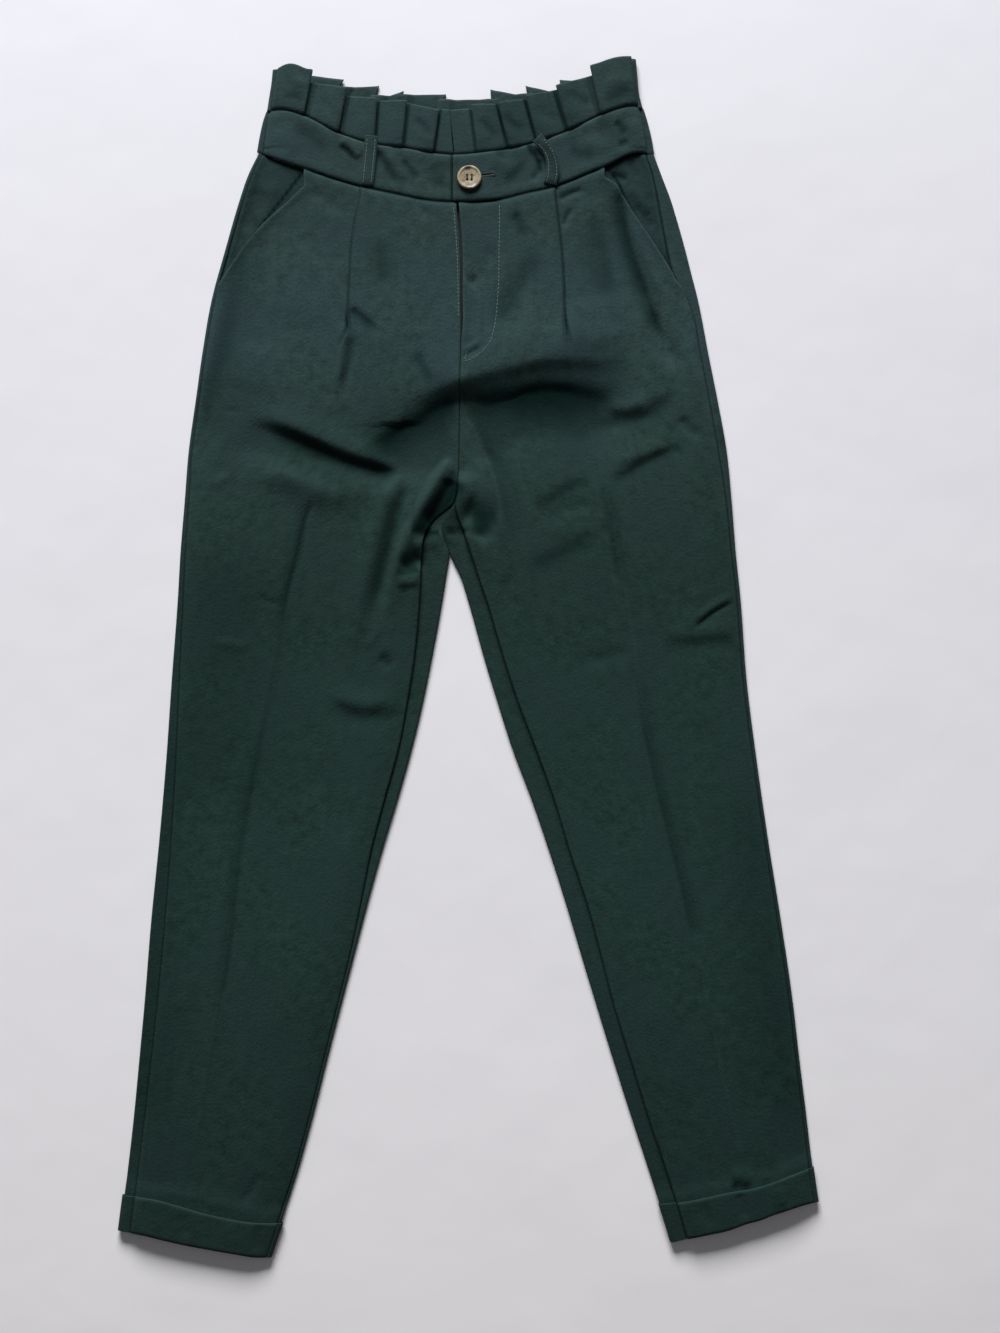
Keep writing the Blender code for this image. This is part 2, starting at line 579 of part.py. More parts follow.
def frill_front(side):
    s = SIGN[side]
    tab = FRILL_R if side == "right" else FRILL_L
    side_foot, side_top, y_side = {"right": (-168.5, -162.6, 500.0), "left": (143.6, 137.9, 510.5)}[side]
    rows = pleated(f"frill_front_{side}", tab, -s, side_foot, side_top, y_side,
                   lambda x, y: top(side, x, np.minimum(y, 466.0)) - 0.3, BAND_TOP, 0.0)
    return grid_piece(f"frill_front_{side}", rows, CLOTH, GREEN)


def frill_back():
    right = {k: v for k, v in FRILL_BACK.items()}
    rows = []
    folds_x = FRILL_BACK
    count = len(folds_x["foot"])
    for v in (0.0, 0.5, 1.0):
        z_low = CLOTH / 2
        z_high = FLOOR + EDGE_RISE + 2.9
        y_ref = 466.0 + 36.0 * v
        right_x = smooth(SIDES, "y", "right", y_ref)
        left_x = smooth(SIDES, "y", "left", y_ref)
        a = side_arc(right_x, -1.0, z_low, z_high, -169.2 + 5.9 * v)
        b = side_arc(left_x, 1.0, z_low, z_high, 144.3 - 5.7 * v)
        path = [(x, 500.5, z) for x, z in a]
        for k in range(count):
            x1 = folds_x["foot"][k] + (folds_x["top"][k] - folds_x["foot"][k]) * v
            s = 1.0 if k < count / 2 else -1.0
            y_a, y_b = folds_x["start"][k], folds_x["end"][k]
            if s > 0:
                path.append((x1, y_a, z_low))
                path.append((x1, y_a, z_low + PLEAT_PITCH * 0.95))
                path.append((x1 - 6.0, y_b, z_low + PLEAT_PITCH * 1.05))
                path.append((x1 - 6.0, y_b, z_low + 2 * PLEAT_PITCH))
                path.append((x1 + 3.0, y_b, z_low + 2 * PLEAT_PITCH))
                path.append((x1 + 9.0, y_b, z_low))
            else:
                path.append((x1 - 9.0, y_a, z_low))
                path.append((x1 - 3.0, y_a, z_low + 2 * PLEAT_PITCH))
                path.append((x1 + 6.0, y_a, z_low + 2 * PLEAT_PITCH))
                path.append((x1 + 6.0, y_a, z_low + PLEAT_PITCH * 1.05))
                path.append((x1, y_b, z_low + PLEAT_PITCH * 0.95))
                path.append((x1, y_b, z_low))
        path += [(x, 509.5, z) for x, z in b[::-1]]
        path = np.array(path)
        foot = smooth(BAND_TOP_BACK, "x", "y", path[:, 0]) + SEAM
        rows.append(np.c_[path[:, 0], foot + (path[:, 1] - foot) * v, path[:, 2]])
    return grid_piece("frill_back", np.array(rows), CLOTH, GREEN_DARK)


def turnup(side, front):
    """One half of a turn-up, lying on its leg from the foot to its free edge."""
    s = SIGN[side]
    outer_tab = OUTER_R if side == "right" else OUTER_L
    inner_tab = INNER_R if side == "right" else INNER_L
    foot_tab = FOOT_R if side == "right" else FOOT_L
    edge_tab = TURNUP_R if side == "right" else TURNUP_L
    off = LIFT - 0.05
    y_o = ROW_ENDS[side][0][2]
    y_i = ROW_ENDS[side][1][2]
    flare = 2.4
    x_o, x_i = smooth(outer_tab, "y", "edge", y_o), smooth(inner_tab, "y", "edge", y_i)
    rows = []
    for v in (0, 0.33, 0.67, 1.0):
        y_a, y_b = y_o + CUFF_OVER * v, y_i + CUFF_OVER * v
        e_o = smooth(outer_tab, "y", "edge", y_a) + s * (flare if side == "right" else 1.6)
        e_i = smooth(inner_tab, "y", "edge", y_b) - s * 1.3
        seam_o = smooth(outer_tab, "y", "edge", y_a) - s * smooth(outer_tab, "y", "strip", y_a)
        seam_i = smooth(inner_tab, "y", "seam", y_b)
        z_low, z_high = CLOTH / 2, FLOOR + EDGE_RISE + 2 * off + 0.75
        if front:
            xs = np.linspace(seam_o - s * SEAM, seam_i + s * SEAM, 9)
            zs = None
        else:
            a = side_arc(e_o, s, z_low, z_high, seam_o)
            b = side_arc(e_i, -s, z_low, z_high, seam_i)
            flat = [(x, z_low) for x in np.linspace(a[-1][0], b[-1][0], 6)[1:-1]]
            path = np.array(a + flat + b[::-1])
            xs, zs = path[:, 0], path[:, 1]
        low = smooth(foot_tab, "x", "y", xs)
        high = smooth(edge_tab, "x", "y", xs)
        ys = low + (high - low) * v
        if front:
            zs = top(side, xs, ys) + off + 0.35
        rows.append(np.c_[xs, ys, zs])
    name = f"turnup_{'front' if front else 'back'}_{side}"
    return grid_piece(name, np.array(rows), CLOTH, GREEN if front else GREEN_DARK)


def belt_loop(side):
    """A narrow strip over the band, sewn down at both ends. The left one has
    rolled over and leans."""
    if side == "right":
        centre = table("v x y lift", [
            (0, -86.4, 401.2, 1.75), (0.12, -86.2, 405.0, 2.2), (0.35, -85.2, 413.5, 2.9),
            (0.65, -84.2, 425.0, 3.2), (0.88, -83.1, 435.0, 4.2), (1, -82.8, 441.2, 4.9)])
        width = (LOOP_W,) * 6
    else:
        centre = table("v x y lift", [
            (0, 69.1, 402.4, 1.75), (0.2, 70.2, 408.0, 2.6), (0.4, 70.9, 416.0, 3.4),
            (0.6, 69.2, 425.5, 4.2), (0.8, 64.5, 433.5, 4.6), (1, 58.5, 439.6, 5.0)])
        width = (LOOP_W, LOOP_W, 9.8, 8.6, 8.2, 9.4)
    rows = []
    for i in range(6):
        before, after = max(i - 1, 0), min(i + 1, 5)
        dx, dy = centre["x"][after] - centre["x"][before], centre["y"][after] - centre["y"][before]
        n = math.hypot(dx, dy)
        ax, ay = dy / n, -dx / n
        across = np.linspace(-0.5, 0.5, 3) * width[i]
        xs, ys = centre["x"][i] + ax * across, centre["y"][i] + ay * across
        zs = np.max(top(side, xs, ys)) + 0.3 + centre["lift"][i] + 0 * xs
        rows.append(np.c_[xs, ys, zs])
    return grid_piece(f"belt_loop_{side}", np.array(rows), LOOP_T, GREEN)


def button():
    """A four-hole button: a turned disc with a sunk middle inside its rim."""
    r = BUTTON_D / 2
    x, y = BUTTON_AT
    base = float(top("left", np.array([x - 6.0]), np.array([y]))[0]) + 0.3 + BAND + 0.35 + BAND / 2 + 0.9
    x, y = x + SHIFT[0], y + SHIFT[1]
    profile = [(r * 0.30, 0.0), (r * 0.72, 0.0), (r * 0.93, 0.55), (r, 1.5), (r * 0.985, 2.5),
               (r * 0.90, BUTTON_T), (r * 0.78, BUTTON_T), (r * 0.66, 2.7), (r * 0.30, 2.25)]
    sides = 32
    bm = bmesh.new()
    rings = []
    for px, pz in profile:
        rings.append([bm.verts.new(((x + px * math.cos(a)) * MM, (y + px * math.sin(a)) * MM, (base + pz) * MM))
                      for a in (2 * math.pi * k / sides for k in range(sides))])
    for a, b in zip(rings, rings[1:]):
        for k in range(sides):
            bm.faces.new((a[k], a[(k + 1) % sides], b[(k + 1) % sides], b[k]))
    bm.faces.new(rings[0][::-1])
    bm.faces.new(rings[-1])
    bmesh.ops.recalc_face_normals(bm, faces=bm.faces)
    mesh = bpy.data.meshes.new("button")
    bm.to_mesh(mesh)
    bm.free()
    obj = bpy.data.objects.new("button", mesh)
    parts.objects.link(obj)
    mesh.materials.append(material("button_horn", (0.33, 0.28, 0.19), 0.35))
    for i, (dx, dy) in enumerate(((-1, -1), (1, -1), (1, 1), (-1, 1))):
        bpy.ops.mesh.primitive_cylinder_add(vertices=12, radius=1.0 * MM, depth=12 * MM,
                                            location=((x + 2.0 * dx) * MM, (y + 2.0 * dy) * MM, (base + 1.5) * MM))
        hole = bpy.context.active_object
        hole.name = f"hole_{i}"
        hole.hide_render = True
        hole.display_type = "WIRE"
        for group in list(hole.users_collection):
            group.objects.unlink(hole)
        cutters.objects.link(hole)
        cut = obj.modifiers.new(f"hole_{i}", "BOOLEAN")
        cut.operation = "DIFFERENCE"
        cut.object = hole
    mesh.shade_smooth()
    mesh.set_sharp_from_angle(angle=math.radians(35))
    return obj


def fly_shield():
    """The strip behind the fly, in line with the waist seam at its top."""
    rows = []
    for v in np.linspace(0, 1, 7):
        y = 386.0 - v * 126.0
        xs = np.linspace(-27.0 + 3 * v, 9.0 - 5 * v, 5)
        zs = np.full(5, 4.2)
        rows.append(np.c_[xs, np.full(5, y), zs])
    return grid_piece("fly_shield", np.array(rows), CLOTH, GREEN_DARK)


def fly_zip():
    """The closed zip: two tapes and the chain between them, as one strip."""
    rows = []
    for v in np.linspace(0, 1, 6):
        y = 384.0 - v * 122.0
        xs = np.array([-13.0, -5.0, -2.0, 1.0, 4.0, 12.0]) + 1.5
        zs = np.array([5.3, 5.3, 5.7, 5.7, 5.3, 5.3])
        rows.append(np.c_[xs, np.full(6, y), zs])
    return grid_piece("fly_zip", np.array(rows), 0.7, (0.01, 0.015, 0.015), 0.6)


for old in list(bpy.data.objects):
    bpy.data.objects.remove(old, do_unlink=True)
bpy.context.scene.collection.children.link(parts)
bpy.context.scene.collection.children.link(cutters)

for side in ("right", "left"):
    front_panel(side)
    back_panel(side)
    pocket_bag(side)
    band_front(side)
    frill_front(side)
    turnup(side, True)
    turnup(side, False)
    belt_loop(side)
band_back()
frill_back()
fly_shield()
fly_zip()
button()
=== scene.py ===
"""Paperbag waist trousers laid flat on a pale floor, at rest in the part's frame.

The cloth is rebuilt finely on the form of its solids: thin walls, pleats that
fold over, creases laid one by one, seams as narrow ditches, stitches as small
threads. Tables are in millimetres, in the part's own axes.
"""

import math

import bmesh
import bpy
import numpy as np
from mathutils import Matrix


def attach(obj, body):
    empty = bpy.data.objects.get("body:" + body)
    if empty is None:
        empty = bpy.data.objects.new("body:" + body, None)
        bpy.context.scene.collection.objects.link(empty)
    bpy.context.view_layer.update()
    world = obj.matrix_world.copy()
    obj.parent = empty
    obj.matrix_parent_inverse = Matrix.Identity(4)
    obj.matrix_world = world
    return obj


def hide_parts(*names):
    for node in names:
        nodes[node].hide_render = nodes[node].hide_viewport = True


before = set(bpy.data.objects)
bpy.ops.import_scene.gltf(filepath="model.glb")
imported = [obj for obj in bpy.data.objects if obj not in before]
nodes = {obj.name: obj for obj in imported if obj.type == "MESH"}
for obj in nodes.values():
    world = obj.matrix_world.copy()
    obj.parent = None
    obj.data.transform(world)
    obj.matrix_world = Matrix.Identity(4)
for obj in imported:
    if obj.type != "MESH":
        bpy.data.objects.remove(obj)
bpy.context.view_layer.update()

# ---------------------------------------------------------------- dimensions
MM = 0.001
CLOTH = 1.0            # wall of a single panel
BAND = 1.4             # waistband, cloth and its facing
SEAM = 0.3             # clear gap between two pieces at a seam
LIFT = 1.4             # mid to mid distance of two layers lying on each other
FLOOR = CLOTH / 2      # mid-surface of the back where it lies
EDGE_RISE = 2.6        # mid to mid height of the flattened tube at its edges
EDGE_RUN = 34.0        # width over which the front rises from an edge
PLEAT_PITCH = 1.6      # layer to layer in the frill's knife pleats
PLEAT_UNDER = 5.6      # how far a frill pleat is folded back
BUTTON_D = 20.6
BUTTON_T = 3.6
BUTTON_AT = (0.4, 406.7)
LOOP_W = 10.8
LOOP_T = 1.2
CUFF_OVER = 31.0       # depth of the turn-up
FACING_UNDER = 14.0    # how far a pocket's back runs in under its opening
SHIFT = (0.69, 0.13)   # puts the middle of the garment's box on the origin


def table(columns, rows):
    """Rows of numbers as named columns."""
    values = np.array(rows, dtype=float)
    return {name: values[:, i] for i, name in enumerate(columns.split())}


def smooth(tab, key, column, at):
    """A smooth curve through a table's rows, held flat past its ends."""
    x, y = tab[key], tab[column]
    if x[0] > x[-1]:
        x, y = x[::-1], y[::-1]
    at = np.clip(np.asarray(at, dtype=float), x[0], x[-1])
    slope = np.gradient(y, x)
    i = np.clip(np.searchsorted(x, at, side="right") - 1, 0, len(x) - 2)
    h = x[i + 1] - x[i]
    t = (at - x[i]) / h
    return ((2 * t**3 - 3 * t**2 + 1) * y[i] + (t**3 - 2 * t**2 + t) * h * slope[i]
            + (3 * t**2 - 2 * t**3) * y[i + 1] + (t**3 - t**2) * h * slope[i + 1])


def ease(t):
    t = np.clip(t, 0.0, 1.0)
    return t * t * (3 - 2 * t)


# The outer edge of each leg, and how far in from it the side seam lies on top.
OUTER_R = table("y edge strip", [
    (438.0, -175.5, 3.2), (410.1, -187.4, 3.0), (388.9, -194.7, 3.0),
    (346.4, -207.4, 2.8), (303.9, -219.3, 2.8), (261.4, -226.9, 2.8),
    (218.9, -232.9, 2.8), (176.4, -238.8, 3.0), (133.9, -242.2, 3.6),
    (91.4, -245.7, 4.2), (48.9, -248.2, 4.7), (-19.1, -253.3, 6.4),
    (-87.1, -258.0, 8.1), (-155.1, -263.9, 10.2), (-227.4, -271.1, 11.9),
    (-291.1, -276.2, 11.0), (-342.1, -280.9, 10.2), (-393.1, -285.8, 9.3),
    (-435.6, -290.7, 8.9), (-490.9, -297.5, 8.9),
])
OUTER_L = table("y edge strip", [
    (438.0, 153.0, 6.8), (410.1, 163.6, 7.2), (388.9, 171.7, 11.0),
    (375.3, 175.9, 12.8), (340.4, 185.7, 15.7), (326.8, 189.1, 15.3),
    (309.0, 193.8, 10.0), (295.4, 196.8, 7.2), (261.4, 203.2, 6.8),
    (218.9, 211.7, 7.2), (176.4, 219.3, 7.2), (133.9, 223.5, 4.7),
    (91.4, 226.9, 3.6), (48.9, 231.2, 3.0), (-19.1, 236.3, 2.8),
    (-87.1, 244.8, 2.8), (-155.1, 254.6, 2.8), (-227.4, 266.1, 2.8),
    (-291.1, 275.4, 2.8), (-342.1, 281.3, 2.8), (-393.1, 287.6, 2.8),
    (-433.9, 292.4, 2.8), (-465.4, 296.8, 2.8),
])
# The inner edge: the centre line down to the crotch, then the inside leg, and
# where the inseam (or the centre seam) lies on top.
INNER_R = table("y edge seam", [
    (142.4, -10.4, -10.4), (129.6, -14.0, -14.3), (122.8, -19.3, -24.4),
    (115.2, -24.0, -31.4), (106.7, -23.6, -36.5), (98.2, -21.3, -39.1),
    (88.8, -18.0, -40.1), (70.1, -19.6, -41.2), (48.9, -22.9, -42.2),
    (6.4, -30.6, -45.9), (-36.1, -39.1, -52.3), (-78.6, -49.3, -60.4),
    (-121.1, -61.2, -72.2), (-163.6, -74.0, -83.3), (-206.1, -85.8, -91.8),
    (-248.6, -96.9, -100.7), (-291.1, -108.0, -111.0), (-342.1, -121.1, -124.0),
    (-393.1, -133.9, -136.8), (-435.6, -145.8, -148.6), (-479.8, -160.2, -163.0),
    (-510.4, -170.0, -172.8),
])
INNER_L = table("y edge seam", [
    (142.4, -9.6, -9.6), (129.6, -13.1, -12.6), (122.8, -17.5, -11.0),
    (115.2, -22.2, -8.1), (106.7, -21.7, -4.7), (98.2, -19.7, -1.7),
    (88.8, -16.4, 1.7), (70.1, -7.6, 7.6), (48.9, -0.8, 14.9),
    (6.4, 11.0, 27.6), (-36.1, 23.8, 41.2), (-78.6, 37.4, 57.4),
    (-121.1, 53.5, 72.7), (-163.6, 68.0, 85.4), (-206.1, 81.6, 99.5),
    (-248.6, 94.3, 111.3), (-291.1, 107.1, 122.0), (-342.1, 122.8, 137.7),
    (-393.1, 139.0, 153.4), (-436.5, 153.4, 168.3), (-497.7, 173.4, 186.6),
])
# The front edges from the waist seam down to the crotch: the fly stands open a
# little at its top, then the two fronts are sewn together.
CENTRE = table("y right left", [
    (387.2, -11.0, -8.9), (373.6, -10.2, -7.3), (357.4, -8.8, -5.7),
    (341.3, -8.0, -5.1), (303.9, -7.5, -5.1), (278.4, -7.3, -5.3),
    (268.2, -7.4, -6.6), (250.3, -7.6, -7.1), (218.9, -8.3, -7.9),
    (184.9, -8.8, -8.4), (159.4, -9.3, -8.9), (142.4, -10.2, -9.8),
])
# The forward pleats: the centre part lies over the outer part.
PLEAT_R = table("y x depth rise", [
    (401.0, -93.9, 16.0, 1.0), (374.4, -99.5, 14.0, 1.0), (325.1, -103.3, 9.0, 1.0),
    (296.0, -104.4, 4.0, 1.0), (277.0, -105.0, 0.0, 0.9), (260.0, -106.8, -3.0, 0.6),
    (205.0, -115.0, -9.0, 0.12),
])
PLEAT_L = table("y x depth rise", [
    (401.0, 74.2, 15.0, 1.0), (372.7, 77.6, 13.0, 1.0), (322.6, 81.4, 8.0, 1.0),
    (296.0, 81.7, 4.0, 1.0), (277.0, 82.0, 0.0, 0.9), (260.0, 84.0, -3.0, 0.6),
    (205.0, 96.0, -9.0, 0.12),
])
# The seam under the waistband and the seam on top of it, front and back.
WAIST = table("x y", [
    (-190.0, 434.2), (-177.2, 429.2), (-157.2, 420.8), (-132.6, 413.0),
    (-113.0, 406.4), (-93.9, 400.8), (-62.0, 393.7), (-34.9, 388.4),
    (-10.2, 386.8), (9.3, 387.4), (27.2, 389.2), (49.3, 394.6), (69.7, 399.1),
    (80.8, 403.0), (100.3, 411.0), (120.7, 419.1), (136.0, 427.1),
    (145.3, 429.2), (157.2, 428.5), (170.0, 427.6),
])
BAND_TOP = table("x y", [
    (-185.0, 463.2), (-171.7, 465.4), (-157.2, 465.4), (-138.5, 459.4),
    (-113.0, 446.2), (-91.0, 438.2), (-77.3, 435.4), (-52.7, 432.2),
    (-30.6, 428.4), (-11.0, 426.7), (7.2, 428.0), (27.2, 430.8), (49.3, 435.3),
    (65.0, 440.0), (84.1, 447.0), (111.0, 460.0), (130.0, 467.3),
    (138.5, 469.4), (153.8, 467.9), (160.0, 467.4),
])
WAIST_BACK = table("x y", [
    (-190.0, 434.2), (-177.2, 429.4), (-143.7, 417.8), (-101.1, 407.6),
    (-58.6, 400.8), (-11.0, 398.2), (34.9, 400.8), (77.3, 407.6),
    (119.8, 418.6), (152.0, 428.6), (170.0, 428.6),
])
BAND_TOP_BACK = table("x y", [
    (-185.0, 463.6), (-171.7, 465.2), (-139.4, 457.0), (-101.1, 447.2),
    (-58.6, 440.4), (-11.0, 437.9), (34.9, 440.4), (73.1, 447.2),
    (115.6, 459.0), (147.9, 467.8), (160.0, 467.4),
])
# The sides of the band and the frill.
SIDES = table("y right left", [
    (504.5, -167.0, 141.8), (490.9, -168.3, 143.2), (477.3, -170.4, 144.6),
    (465.4, -172.4, 148.0), (456.9, -175.3, 151.0), (443.3, -178.4, 154.9),
    (429.7, -180.6, 157.6), (424.0, -181.5, 158.6),
])
# The turn-ups: their foot, and their free upper edge.
FOOT_R = table("x y", [
    (-300.1, -487.5), (-288.6, -489.2), (-275.9, -491.2), (-261.2, -494.7),
    (-246.5, -498.1), (-222.2, -502.8), (-198.0, -507.0), (-180.0, -510.2),
    (-168.0, -510.6),
])
FOOT_L = table("x y", [
    (172.0, -498.0), (186.2, -494.3), (198.9, -491.4), (221.3, -486.4),
    (236.0, -481.0), (245.3, -478.6), (259.1, -473.4), (272.8, -469.0),
    (282.2, -466.2), (299.5, -462.9),
])
TURNUP_R = table("x y", [
    (-298.0, -457.6), (-284.8, -458.4), (-266.1, -460.6), (-246.5, -465.9),
    (-227.1, -471.6), (-207.6, -476.2), (-188.0, -479.6), (-160.2, -481.6),
])
TURNUP_L = table("x y", [
    (160.0, -465.6), (178.0, -463.3), (199.2, -459.2), (213.0, -456.0),
    (226.9, -453.4), (240.5, -451.2), (259.1, -445.6), (272.8, -440.2),
    (294.0, -433.6),
])
# The slanted pocket openings.
POCKET_R = table("y x", [
    (414.8, -140.2), (397.4, -153.4), (376.1, -170.0), (354.9, -186.2),
    (333.6, -201.9), (318.0, -212.4),
])
POCKET_L = table("y x", [
    (419.0, 115.0), (408.4, 124.5), (396.5, 130.0), (374.8, 140.8),
    (351.0, 157.1), (331.5, 170.0), (318.5, 177.0),
])
# How high the front stands over its edges, at each height on the garment.
CROWN = table("y rise", [
    (470.0, 6.8), (430.0, 6.4), (380.0, 6.2), (300.0, 6.2), (200.0, 6.0),
    (100.0, 5.4), (0.0, 5.0), (-150.0, 4.8), (-300.0, 4.8), (-520.0, 4.6),
])
# The largest folds: a line, its half width and its depth (a ridge is negative).
FOLDS = {
    "right thigh trough": (18.0, 2.0, [(-186, 203), (-141, 187), (-106, 170), (-63, 160)]),
    "right crotch rise": (16.0, 1.7, [(-88, 185), (-50, 205), (-14, 222)]),
    "right thigh ridge": (18.0, -1.0, [(-168, 168), (-140, 150), (-108, 134)]),
    "right hip hollow": (16.0, 1.3, [(-222, 395), (-232, 330), (-222, 268)]),
    "left thigh trough": (17.0, 2.1, [(0, 218), (42, 230), (74, 237), (120, 224)]),
    "left second trough": (16.0, 1.3, [(30, 205), (78, 196), (130, 202), (168, 190)]),
    "left hip fold": (15.0, 1.4, [(132, 372), (146, 325), (163, 283), (184, 248)]),
    "left crotch fold": (14.0, 1.2, [(6, 190), (22, 150), (33, 112)]),
    "right crotch fold": (14.0, 1.5, [(-14, 176), (-34, 140), (-52, 105), (-66, 60)]),
}

# The frill: each pleat's fold edge at the foot and at the top, and the height
# of the cloth at the panel's start and at its fold, from the side to the centre.
FRILL_R = table("foot top start end", [
    (-139.4, -131.8, 500.6, 498.5), (-110.1, -102.9, 488.5, 483.2),
    (-79.9, -77.4, 477.3, 474.1), (-56.1, -52.3, 473.0, 472.2),
    (-29.8, -24.7, 472.6, 463.7), (-13.2, -16.8, 465.9, 465.2),
])
FRILL_L = table("foot top start end", [
    (111.4, 102.0, 509.6, 501.9), (84.1, 73.0, 495.1, 484.9),
    (57.8, 47.6, 483.0, 476.4), (34.0, 23.8, 475.6, 470.5),
    (6.8, 1.7, 470.5, 468.8), (-12.2, -15.9, 466.4, 464.8),
])
FRILL_BACK = table("foot top start end", [
    (-132.0, -107.0, 493.0, 486.5), (-88.0, -77.0, 487.8, 479.2),
    (-62.0, -56.0, 483.2, 480.0), (-22.0, -20.0, 480.6, 475.8),
    (22.0, 18.5, 476.0, 484.6), (58.0, 48.5, 480.6, 487.8),
    (86.0, 77.5, 483.0, 493.0), (118.0, 103.0, 492.0, 496.0),
])

# ------------------------------------------------------------------- surfaces


def line_distance(x, y, points):
    """Distance to a line, and how far along it the nearest point is."""
    best = np.full(np.broadcast(x, y).shape, 1e9)
    along = np.zeros_like(best)
    total = len(points) - 1
    for i, ((ax, ay), (bx, by)) in enumerate(zip(points, points[1:])):
        dx, dy = bx - ax, by - ay
        t = np.clip(((x - ax) * dx + (y - ay) * dy) / (dx * dx + dy * dy), 0, 1)
        d = np.hypot(x - ax - t * dx, y - ay - t * dy)
        nearer = d < best
        best = np.where(nearer, d, best)
        along = np.where(nearer, (i + t) / total, along)
    return best, along


def folds(x, y):
    z = np.zeros(np.broadcast(x, y).shape)
    for width, depth, points in FOLDS.values():
        d, s = line_distance(x, y, points)
        z -= depth * np.exp(-((d / width) ** 2)) * np.sin(np.pi * (0.1 + 0.8 * s))
    return z


def edges(side, y):
    """Outer and inner edge of one leg, as the wearer's right or left."""
    if side == "right":
        return smooth(OUTER_R, "y", "edge", y), smooth(INNER_R, "y", "edge", y)
    return smooth(OUTER_L, "y", "edge", y), smooth(INNER_L, "y", "edge", y)


def dome(t):
    return 1 - (1 - np.clip(t, 0, 1)) ** 2.2


def top(side, x, y):
    """Mid-surface of the front where it lies on the hollow."""
    outer, inner = edges(side, y)
    band_side = smooth(SIDES, "y", "right" if side == "right" else "left", y)
    outer = np.where(y > 434.0, band_side, outer)
    rise = smooth(CROWN, "y", "rise", y)
    split = ease((205.0 - y) / 80.0)
    f_out = dome(np.abs(x - outer) / EDGE_RUN)
    f_in = dome(np.abs(x - inner) / EDGE_RUN)
    lift = rise * f_out * (1 - split * (1 - f_in))
    crotch = 0.9 * np.exp(-((y - 140.0) / 16.0) ** 2 - ((x + 12.0) / 14.0) ** 2)
    return FLOOR + EDGE_RISE + lift + crotch + folds(x, y) * f_out * f_out + over_turnup(side, x, y)


def over_turnup(side, x, y):
    """How far the leg is lifted by the turn-up that it lies on at the hem."""
    edge = smooth(TURNUP_R if side == "right" else TURNUP_L, "x", "y", x)
    return (LIFT - 0.05) * ease((edge + 16.0 - y) / 13.0)


SIGN = {"right": -1.0, "left": 1.0}


# Rows: fractions of the way from the waist seam to the crotch, then to the hem.
HIP_ROWS = (0, 0.06, 0.13, 0.2, 0.27, 0.34, 0.41, 0.47, 0.53, 0.6, 0.68, 0.76, 0.84, 0.92, 1.0)
LEG_ROWS = (0.035, 0.075, 0.13, 0.21, 0.31, 0.43, 0.56, 0.69, 0.81, 0.912, 0.945, 1.0)
ROW_ENDS = {"right": ((430.0, 130.0, -486.5), (386.6, 128.0, -508.6)),
            "left": ((427.0, 130.0, -462.4), (386.6, 128.0, -495.4))}


def row_height(side, x, j, y_outer, y_inner, x_out, x_in, front):
    """Height of row j at x: straight across the leg, but following the waist
    seam at the first rows and the hem at the last."""
    t = (x - x_out) / (x_in - x_out)
    v = (y_outer[0] - y_outer[j]) / (y_outer[0] - y_outer[-1])
    first = y_outer[0] + (y_inner[0] - y_outer[0]) * t
    last = y_outer[-1] + (y_inner[-1] - y_outer[-1]) * t
    waist = smooth(WAIST if front else WAIST_BACK, "x", "y", x) - SEAM
    foot = smooth(FOOT_R if side == "right" else FOOT_L, "x", "y", x) + 1.2
    y = y_outer[j] + (y_inner[j] - y_outer[j]) * t
    return y + (waist - first) * ease(1 - v / 0.2) + (foot - last) * ease((v - 0.88) / 0.12)


def side_arc(edge, s, z_low, z_high, seam):
    """Path from the seam on top, round the side, to the floor."""
    r = (z_high - z_low) / 2
    wide = min(r, abs(edge - seam) - 0.5)
    path = [(seam, z_high)]
    for k in range(5):
        angle = math.pi * (0.5 - k / 4)
        path.append((edge - s * wide + s * wide * math.cos(angle), z_low + r + r * math.sin(angle)))
    return path

